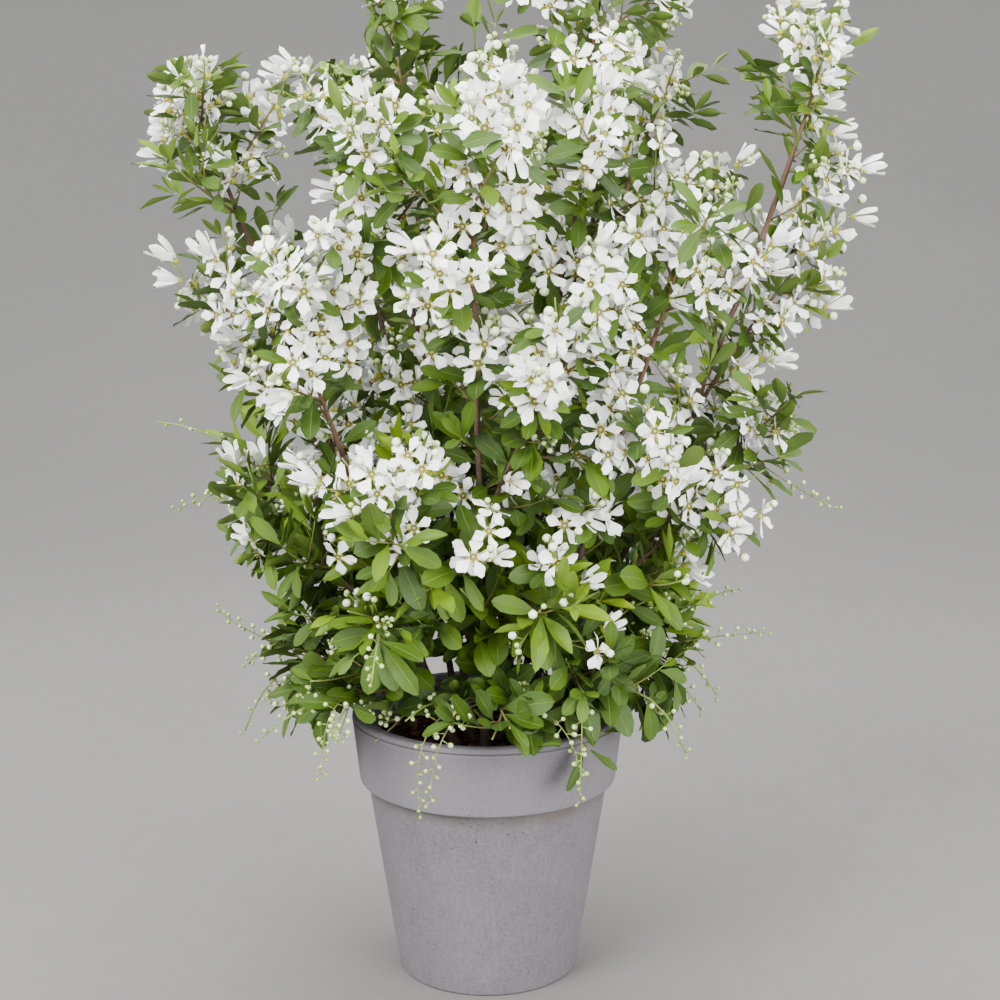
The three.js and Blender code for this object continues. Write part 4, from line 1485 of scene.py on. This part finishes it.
def sheetShape(rows, columns, pointAt):
    # a grid of points from two shares, with its map
    points = [pointAt(i / rows, j / columns) for i in range(rows + 1) for j in range(columns + 1)]
    wide = columns + 1
    faces, corners = [], []
    for i, j in itertools.product(range(rows), range(columns)):
        low, left, right = i * wide + j, j / columns, (j + 1) / columns
        faces.append((low, low + 1, low + wide + 1, low + wide))
        corners += [(left, i / rows), (right, i / rows), (right, (i + 1) / rows), (left, (i + 1) / rows)]
    return points, faces, corners


# leaves: a long oval, widest past the middle, on a short stalk, folded and bent; young ones are pointed

leafForm = {"rows": 7, "columns": 4, "stalk": 0.1, "stalkHalf": 0.012, "tipHalf": 0.006, "wide": 0.37,
            "rise": 1.2, "fall": 0.72, "youngFall": 1.0, "foldRise": 1.6, "waves": (17, 2.2), "sway": 0.06}
leafKinds = [
    {"fold": 0.10, "bend": 0.16, "wave": 0.012, "twist": 0.1, "wide": 1.0},
    {"fold": 0.22, "bend": 0.05, "wave": 0.02, "twist": -0.2, "wide": 0.92},
    {"fold": 0.06, "bend": 0.32, "wave": 0.016, "twist": 0.25, "wide": 1.08},
    {"fold": 0.16, "bend": -0.08, "wave": 0.024, "twist": -0.05, "wide": 0.84},
    # the young ones
    {"fold": 0.30, "bend": -0.10, "wave": 0.01, "twist": 0.1, "wide": 0.8},
    {"fold": 0.42, "bend": 0.04, "wave": 0.012, "twist": -0.15, "wide": 0.74},
    {"fold": 0.20, "bend": 0.14, "wave": 0.016, "twist": 0.2, "wide": 0.86},
    {"fold": 0.34, "bend": -0.2, "wave": 0.01, "twist": 0.0, "wide": 0.7},
]
leafColours = {
    "fresh": [(0.0, (0.015, 0.037, 0.002)), (0.3, (0.035, 0.072, 0.003)), (0.6, (0.07, 0.127, 0.003)),
              (0.85, (0.12, 0.2, 0.003)), (1.0, (0.165, 0.25, 0.006))],
    "dull": (0.044, 0.08, 0.024),
    "vein": (0.15, 0.22, 0.03),
    "back": (0.1, 0.15, 0.03),
}


def leafHalf(share, fall):
    # half the blade's width, as a share of the leaf's length
    blade = (share - leafForm["stalk"]) / (1 - leafForm["stalk"])
    if blade <= 0:
        return leafForm["stalkHalf"]
    rise = leafForm["rise"]
    peak = rise / (rise + fall)
    full = (blade ** rise) * ((1 - blade) ** fall) / (peak ** rise * (1 - peak) ** fall)
    return leafForm["stalkHalf"] + 0.5 * leafForm["wide"] * full


def leafShape(form, fall):
    def pointAt(i, j):
        share = 0.5 - 0.5 * math.cos(math.pi * i)  # the rows lie closer at both ends
        aside = 2 * j - 1
        half = leafForm["tipHalf"] if share >= 0.999 else leafHalf(share, fall) * form["wide"]
        x = half * aside
        z = form["fold"] * abs(x) * leafForm["foldRise"] - form["bend"] * share ** 2
        wave = math.sin(share * leafForm["waves"][0] + aside * leafForm["waves"][1])
        z += form["wave"] * wave * abs(aside) * min(1, 4 * share)
        turn = form["twist"] * share
        y = share * (1 - 0.28 * form["bend"] ** 2)
        return (x * math.cos(turn), y, z + x * math.sin(turn))

    return sheetShape(leafForm["rows"], leafForm["columns"], pointAt)


def leafMaterial():
    blade, tree = newMaterial("leafGreen", 0.52, 0.22)
    split = splitUp(tree, ownMap(tree))
    aside = calculate(tree, "ABSOLUTE", minus(tree, split["X"], 0.5))
    drift = noise(tree, objectPlace(tree), 38.0, 3.0)
    fresh = colourRamp(tree, unsettled(tree, readNumber(tree, "tone"), drift, 0.35), leafColours["fresh"])
    green = tint(tree, fresh, leafColours["dull"], stepUp(tree, drift, 0.46, 0.6), 0.46)
    # side veins run forward from the middle to the edge
    run = minus(tree, times(tree, split["Y"], 9.0), times(tree, aside, 5.0))
    wave = calculate(tree, "ABSOLUTE", minus(tree, calculate(tree, "FRACT", run), 0.5))
    side = times(tree, stepDown(tree, wave, 0.02, 0.12), 0.16)
    veins = calculate(tree, "MAXIMUM", stepDown(tree, aside, 0.015, 0.05), side)
    veined = tint(tree, green, leafColours["vein"], veins, 0.38)
    back = addNode(tree, "ShaderNodeNewGeometry").outputs["Backfacing"]
    colour = tint(tree, veined, leafColours["back"], back, 0.5)
    return cover(blade, colour, times(tree, veins, -1.0), 0.0006, 0.7)


def buildLeaves():
    place, direction, normal, sizes, tones, kinds = (np.array(column) for column in zip(*leaves))
    turns = eulers(np.cross(direction, normal), direction, normal)
    shapes = [leafShape(form, leafForm["fall" if i < leafPlan["kinds"] else "youngFall"])
              for i, form in enumerate(leafKinds)]
    material = leafMaterial()
    young = tones > leafPlan["youngTone"]
    for name, chosen in (("leaves", ~young), ("young_leaves", young)):
        columns = (column[chosen] for column in (place, turns, sizes, tones, kinds))
        growPieces(name, "foliage", shapes, material, *columns, sway=leafForm["sway"], seed=3)


buildLeaves()


# flowers: five clawed petals with a notch, round a yellow green disc with a dark ring and short stamens

petalForm = {
    "count": 5, "rows": 5, "columns": 6, "bunch": 1.25, "start": 0.11, "round": 0.21, "notch": 0.055,
    "cup": 0.9, "ruffle": 0.05, "edge": 0.015, "roll": 0.42, "sizes": (0.88, 1.1),
    # half widths along the petal
    "halves": ((0, 0.2, 0.4, 0.6, 0.8, 0.9, 1.0), (0.038, 0.072, 0.17, 0.252, 0.28, 0.262, 0.2)),
}
flowerKinds = [
    {"lift": 0.10, "curl": 0.10, "loose": 0.10},
    {"lift": -0.02, "curl": -0.14, "loose": 0.14},
    {"lift": 0.28, "curl": -0.04, "loose": 0.12},
    {"lift": 0.04, "curl": 0.16, "loose": 0.2},
    {"lift": 0.95, "curl": 0.5, "loose": 0.08},
]
petalColours = {"white": (0.93, 0.932, 0.912), "cream": (0.9, 0.905, 0.855), "vein": (0.8, 0.82, 0.77),
                "claw": (0.62, 0.7, 0.4)}


def petalShape(form, turn, random):
    lift = form["lift"] + random.uniform(-1, 1) * form["loose"]
    curl = form["curl"] + random.uniform(-1, 1) * form["loose"]
    roll = random.uniform(-petalForm["roll"], petalForm["roll"])
    wide = random.uniform(*petalForm["sizes"])
    notch = petalForm["notch"] * random.uniform(0.1, 1.2)
    wave = random.uniform(0, 6)

    def pointAt(row, j):
        i = 1 - (1 - row) ** petalForm["bunch"]
        aside = 2 * j - 1
        reach = petalForm["start"] + (1 - petalForm["start"]) * i - petalForm["round"] * aside ** 2 * i ** 3
        if i > 0.99:
            reach -= notch * (abs(aside) < 0.1) + petalForm["edge"] * math.sin(5 * aside + 2 * wave)
        x = float(np.interp(i, *petalForm["halves"])) * aside * wide
        z = lift * i + curl * i * i + roll * x + petalForm["cup"] * x * x * (1 - 0.5 * i)
        z += petalForm["ruffle"] * (math.sin(3.2 * aside + wave) + 0.5 * math.sin(7 * aside - wave)) * i * i
        y = reach * math.cos(min(1.2, abs(lift) * 0.8))
        return (y * math.cos(turn) - x * math.sin(turn), y * math.sin(turn) + x * math.cos(turn), z)

    return sheetShape(petalForm["rows"], petalForm["columns"], pointAt)


def flowerShape(form, seed):
    random = np.random.default_rng(seed)
    points, faces, corners = [], [], []
    for petal in range(petalForm["count"]):
        turn = fullTurn * (petal + random.uniform(-0.06, 0.06)) / petalForm["count"]
        petalPoints, petalFaces, petalCorners = petalShape(form, turn, random)
        # the grid runs outward first, so its faces are turned to look up
        faces += [tuple(len(points) + corner for corner in reversed(face)) for face in petalFaces]
        corners += [petalCorners[4 * n + m] for n in range(len(petalFaces)) for m in (3, 2, 1, 0)]
        points += petalPoints
    return points, faces, corners


def petalMaterial():
    petal, tree = newMaterial("whitePetal", 0.6, 0.25)
    placed = ownMap(tree)
    veins = noise(tree, stretch(tree, placed, (9.0, 0.8, 1.0)), 2.2, 3.0)
    white = tint(tree, petalColours["white"], petalColours["cream"], readNumber(tree, "tone"), 0.6)
    veined = tint(tree, white, petalColours["vein"], stepUp(tree, veins, 0.45, 0.7), 0.4)
    claw = stepDown(tree, splitUp(tree, placed)["Y"], 0.02, 0.3)
    return cover(petal, tint(tree, veined, petalColours["claw"], claw, 0.6), veins, 0.0009, 0.7)


# the disc's rings: radius, height, and the place in heartColours
heartForm = {
    "sides": 7,
    "rings": [(0.06, 0.035, 0.12), (0.078, 0.02, 0.4), (0.165, 0.035, 0.43), (0.19, 0.05, 0.32),
              (0.17, -0.07, 0.1), (0.06, -0.2, 0.08)],
    "stamens": 6,
    "stamenFoot": (0.155, 0.03),  # out and up
    "stamenTip": (0.2, 0.2),
    "stamenSpread": (0.04, 0.03),
    "stamenWide": (0.011, 0.008),
    "anther": 0.03,
    "sepal": [(0.15, -0.35, -0.04, 0.08), (0.33, 0, -0.06, 0.1), (0.15, 0.35, -0.04, 0.08)],
}
heartColours = [
    (0.0, (0.46, 0.44, 0.03)), (0.16, (0.36, 0.36, 0.025)), (0.3, (0.2, 0.18, 0.02)),
    (0.4, (0.05, 0.038, 0.006)), (0.5, (0.42, 0.42, 0.1)), (0.6, (0.8, 0.82, 0.66)),
    (0.75, (0.8, 0.82, 0.66)), (0.85, (0.46, 0.34, 0.05)),
]
whiteTone, brownTone = 0.62, 0.9  # places in heartColours for filaments and anthers


def heartShape():
    # the disc in rings, then the stamens round it; the map's height tells green, dark, white and brown apart
    sides, rings = heartForm["sides"], heartForm["rings"]
    points = [point for radius, z, _ in rings for point in ring(radius, z, sides)]
    faces, corners = [tuple(range(sides))], [(0.5, 0.02)] * sides
    for i, j in itertools.product(range(len(rings) - 1), range(sides)):
        high, k = i * sides, (j + 1) % sides
        faces.append((high + j, high + sides + j, high + sides + k, high + k))
        corners += [(0.5, rings[n][2]) for n in (i, i + 1, i + 1, i)]
    faces.append(tuple(range(len(points) - 1, len(points) - sides - 1, -1)))
    corners += [(0.5, 0.08)] * sides
    (footOut, footHigh), (tipOut, tipHigh) = heartForm["stamenFoot"], heartForm["stamenTip"]
    further, lower = heartForm["stamenSpread"]
    for i in range(heartForm["stamens"]):
        angle = fullTurn * (i + 0.3 * (i % 2)) / heartForm["stamens"]
        outward = np.array([math.cos(angle), math.sin(angle), 0])
        around = np.array([-math.sin(angle), math.cos(angle), 0])
        foot = outward * footOut + (0, 0, footHigh)
        tip = outward * (tipOut + further * (i % 3)) + (0, 0, tipHigh - lower * (i % 2))
        first = len(points)
        for end, wide in zip((foot, tip), heartForm["stamenWide"]):
            points += [tuple(end + wide * (math.cos(a) * around + math.sin(a) * outward))
                       for a in (0, 2.1, 4.2)]
        faces += [(first + j, first + 3 + j, first + 3 + (j + 1) % 3, first + (j + 1) % 3) for j in range(3)]
        first = len(points)
        points += [tuple(tip + np.array(off) * heartForm["anther"])
                   for off in ((1.2, 0, 0), (0, 1.2, 0), (-1.2, 0, 0), (0, -1.2, 0), (0, 0, 1), (0, 0, -1))]
        for j in range(4):
            k = (j + 1) % 4
            faces += [(first + j, first + k, first + 4), (first + k, first + j, first + 5)]
        corners += [(0.5, whiteTone)] * 12 + [(0.5, brownTone)] * 24
    # five pale green sepals under the petals
    for i in range(petalForm["count"]):
        angle = fullTurn * (i + 0.5) / petalForm["count"]
        faces.append((len(points), len(points) + 1, len(points) + 2))
        for radius, off, z, tone in heartForm["sepal"]:
            points.append((radius * math.cos(angle + off), radius * math.sin(angle + off), z))
            corners.append((0.5, tone))
    return points, faces, corners


def mottledFinish(material, colours, drift, broad, fine, amount, distance, strength=0.6):
    # colours that change with a mottle, and a relief that follows it
    tree = material.node_tree
    tone = mottled(tree, (1, 1, 1), drift, broad, fine, amount)
    colour = mixColours(tree, 1.0, colours, tone["Colour"], "MULTIPLY")
    return cover(material, colour, tone["Height"], distance, strength)


def heartMaterial():
    heart, tree = newMaterial("flowerHeart", 0.5, 0.35)
    colours = colourRamp(tree, splitUp(tree, ownMap(tree))["Y"], heartColours)
    return mottledFinish(heart, colours, (0.84, 0.84, 0.6), 90.0, 900.0, 0.6, 0.0003)


def buildFlowers():
    place, facing, spin, radius, tone, kind = (np.array(column) for column in zip(*flowers))
    turns = facingTurns(facing, spin)
    shapes = [flowerShape(form, 40 + i) for i, form in enumerate(flowerKinds)]
    growPieces("petals", "blossom", shapes, petalMaterial(), place, turns, radius, tone, kind)
    growPieces("flower_hearts", "blossom", [heartShape()], heartMaterial(), place, turns, radius, tone,
               kind * 0)


buildFlowers()


# buds: round, pale, in a small green cup

# the rings of a bud: radius, height, and the height in its map
budForm = {"sides": 6, "rings": [(0.1, -0.06, 0.0), (0.28, 0.06, 0.12), (0.42, 0.26, 0.3), (0.5, 0.52, 0.55),
                                 (0.42, 0.78, 0.8), (0.2, 0.95, 0.95)]}
budColours = {"ripening": [(0.2, (0.84, 0.86, 0.7)), (0.55, (0.56, 0.65, 0.3)), (1.0, (0.23, 0.32, 0.05))],
              "cup": (0.2, 0.28, 0.045)}


def budShape():
    sides, rings = budForm["sides"], budForm["rings"]
    points = [point for i, (radius, z, _) in enumerate(rings) for point in ring(radius, z, sides, 0.25 * i)]
    return points, *tubeSurface(sides, [height for _, _, height in rings], ends=(0.0, 1.0))


def budMaterial():
    bud, tree = newMaterial("budCream", 0.5, 0.35)
    cream = colourRamp(tree, readNumber(tree, "tone"), budColours["ripening"])
    cup = stepDown(tree, splitUp(tree, ownMap(tree))["Y"], 0.18, 0.42)
    colours = mixColours(tree, cup, cream, budColours["cup"])
    return mottledFinish(bud, colours, (0.8, 0.85, 0.7), 120.0, 700.0, 0.6, 0.0004)


def buildBuds():
    place, facing, spin, size, tone, kind = (np.array(column) for column in zip(*buds))
    turns = facingTurns(facing, spin)
    growPieces("buds", "blossom", [budShape()], budMaterial(), place, turns, size, tone, kind)


buildBuds()


# soil: an uneven disc with bark chips

earth = {
    "rings": 22,
    "around": 96,
    "rough": 2.6,
    "lean": 0.17,  # of the pot's inner wall
    "dark": (0.026, 0.016, 0.01),
    "pale": (0.075, 0.042, 0.023),
}
chipForm = {
    "count": 520,
    "long": (6, 19),
    "corners": 6,
    "half": (0.5, 0.24, 0.09),  # of its length, width and thickness
    "tilt": (0.35, 0.3),
    "colours": [(0.0, (0.045, 0.025, 0.015)), (0.5, (0.13, 0.052, 0.026)), (0.85, (0.2, 0.095, 0.05)),
                (1.0, (0.26, 0.17, 0.11))],
}
earthReach = pot["rim"] - pot["wall"] - (pot["height"] - earthHeight) * earth["lean"] + 1.0


def soilHeight(x, y):
    waves = 0.5 * math.sin(0.09 * x + 1.3) * math.sin(0.11 * y + 0.4) + 0.3 * math.sin(0.23 * x - 0.17 * y)
    return earthHeight + earth["rough"] * (waves + 0.2 * math.sin(0.41 * y + 0.3 * x))


def buildSoil():
    around = earth["around"]
    points = [(0, 0, soilHeight(0, 0) * mm)]
    for i in range(1, earth["rings"] + 1):
        for x, y, _ in ring(earthReach * i / earth["rings"], 0, around):
            points.append((x * mm, y * mm, soilHeight(x, y) * mm))
    faces = [(0, 1 + j, 1 + (j + 1) % around) for j in range(around)]
    for i, j in itertools.product(range(earth["rings"] - 1), range(around)):
        low, k = 1 + i * around, (j + 1) % around
        faces.append((low + j, low + around + j, low + around + k, low + k))
    dirt, tree = newMaterial("darkSoil", 0.95, 0.15)
    tone = mottled(tree, earth["dark"], earth["pale"], 60.0, 420.0, 0.9)
    ground = meshObject("potting_soil", points, faces, cover(dirt, tone["Colour"], tone["Height"], 0.004))
    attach(ground, "root")
    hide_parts("soil")


def chipShape(seed):
    # a flat splinter with uneven corners
    random = np.random.default_rng(seed)
    sides, (half, aside, thick) = chipForm["corners"], chipForm["half"]
    points = []
    for z in (-thick, thick):
        for j in range(sides):
            angle = fullTurn * j / sides
            points.append((half * math.cos(angle) * random.uniform(0.7, 1.0),
                           aside * math.sin(angle) * random.uniform(0.7, 1.15), z * random.uniform(0.6, 1.1)))
    return points, *tubeSurface(sides, (0, 1))


def buildChips():
    random = np.random.default_rng(21)
    count = chipForm["count"]
    reach = (earthReach - 7) * np.sqrt(random.random(count))
    angle = random.uniform(0, fullTurn, count)
    x, y = reach * np.cos(angle), reach * np.sin(angle)
    z = np.array([soilHeight(a, b) for a, b in zip(x, y)]) + random.uniform(0.2, 2.0, count)
    tilts = [random.normal(0, tilt, count) for tilt in chipForm["tilt"]]
    turns = np.stack([*tilts, random.uniform(0, fullTurn, count)], axis=1)
    chip, tree = newMaterial("barkChips", 0.9, 0.2)
    colours = colourRamp(tree, readNumber(tree, "tone"), chipForm["colours"])
    mottledFinish(chip, colours, (0.45, 0.42, 0.4), 70.0, 500.0, 0.9, 0.0015, 1.0)
    growPiece("bark_chips", "soil", [chipShape(seed) for seed in (1, 2, 3)], chip,
              np.stack([x, y, z], axis=1), turns, random.uniform(*chipForm["long"], count),
              random.random(count) ** 1.5, random.integers(0, 3, count))


buildSoil()
buildChips()
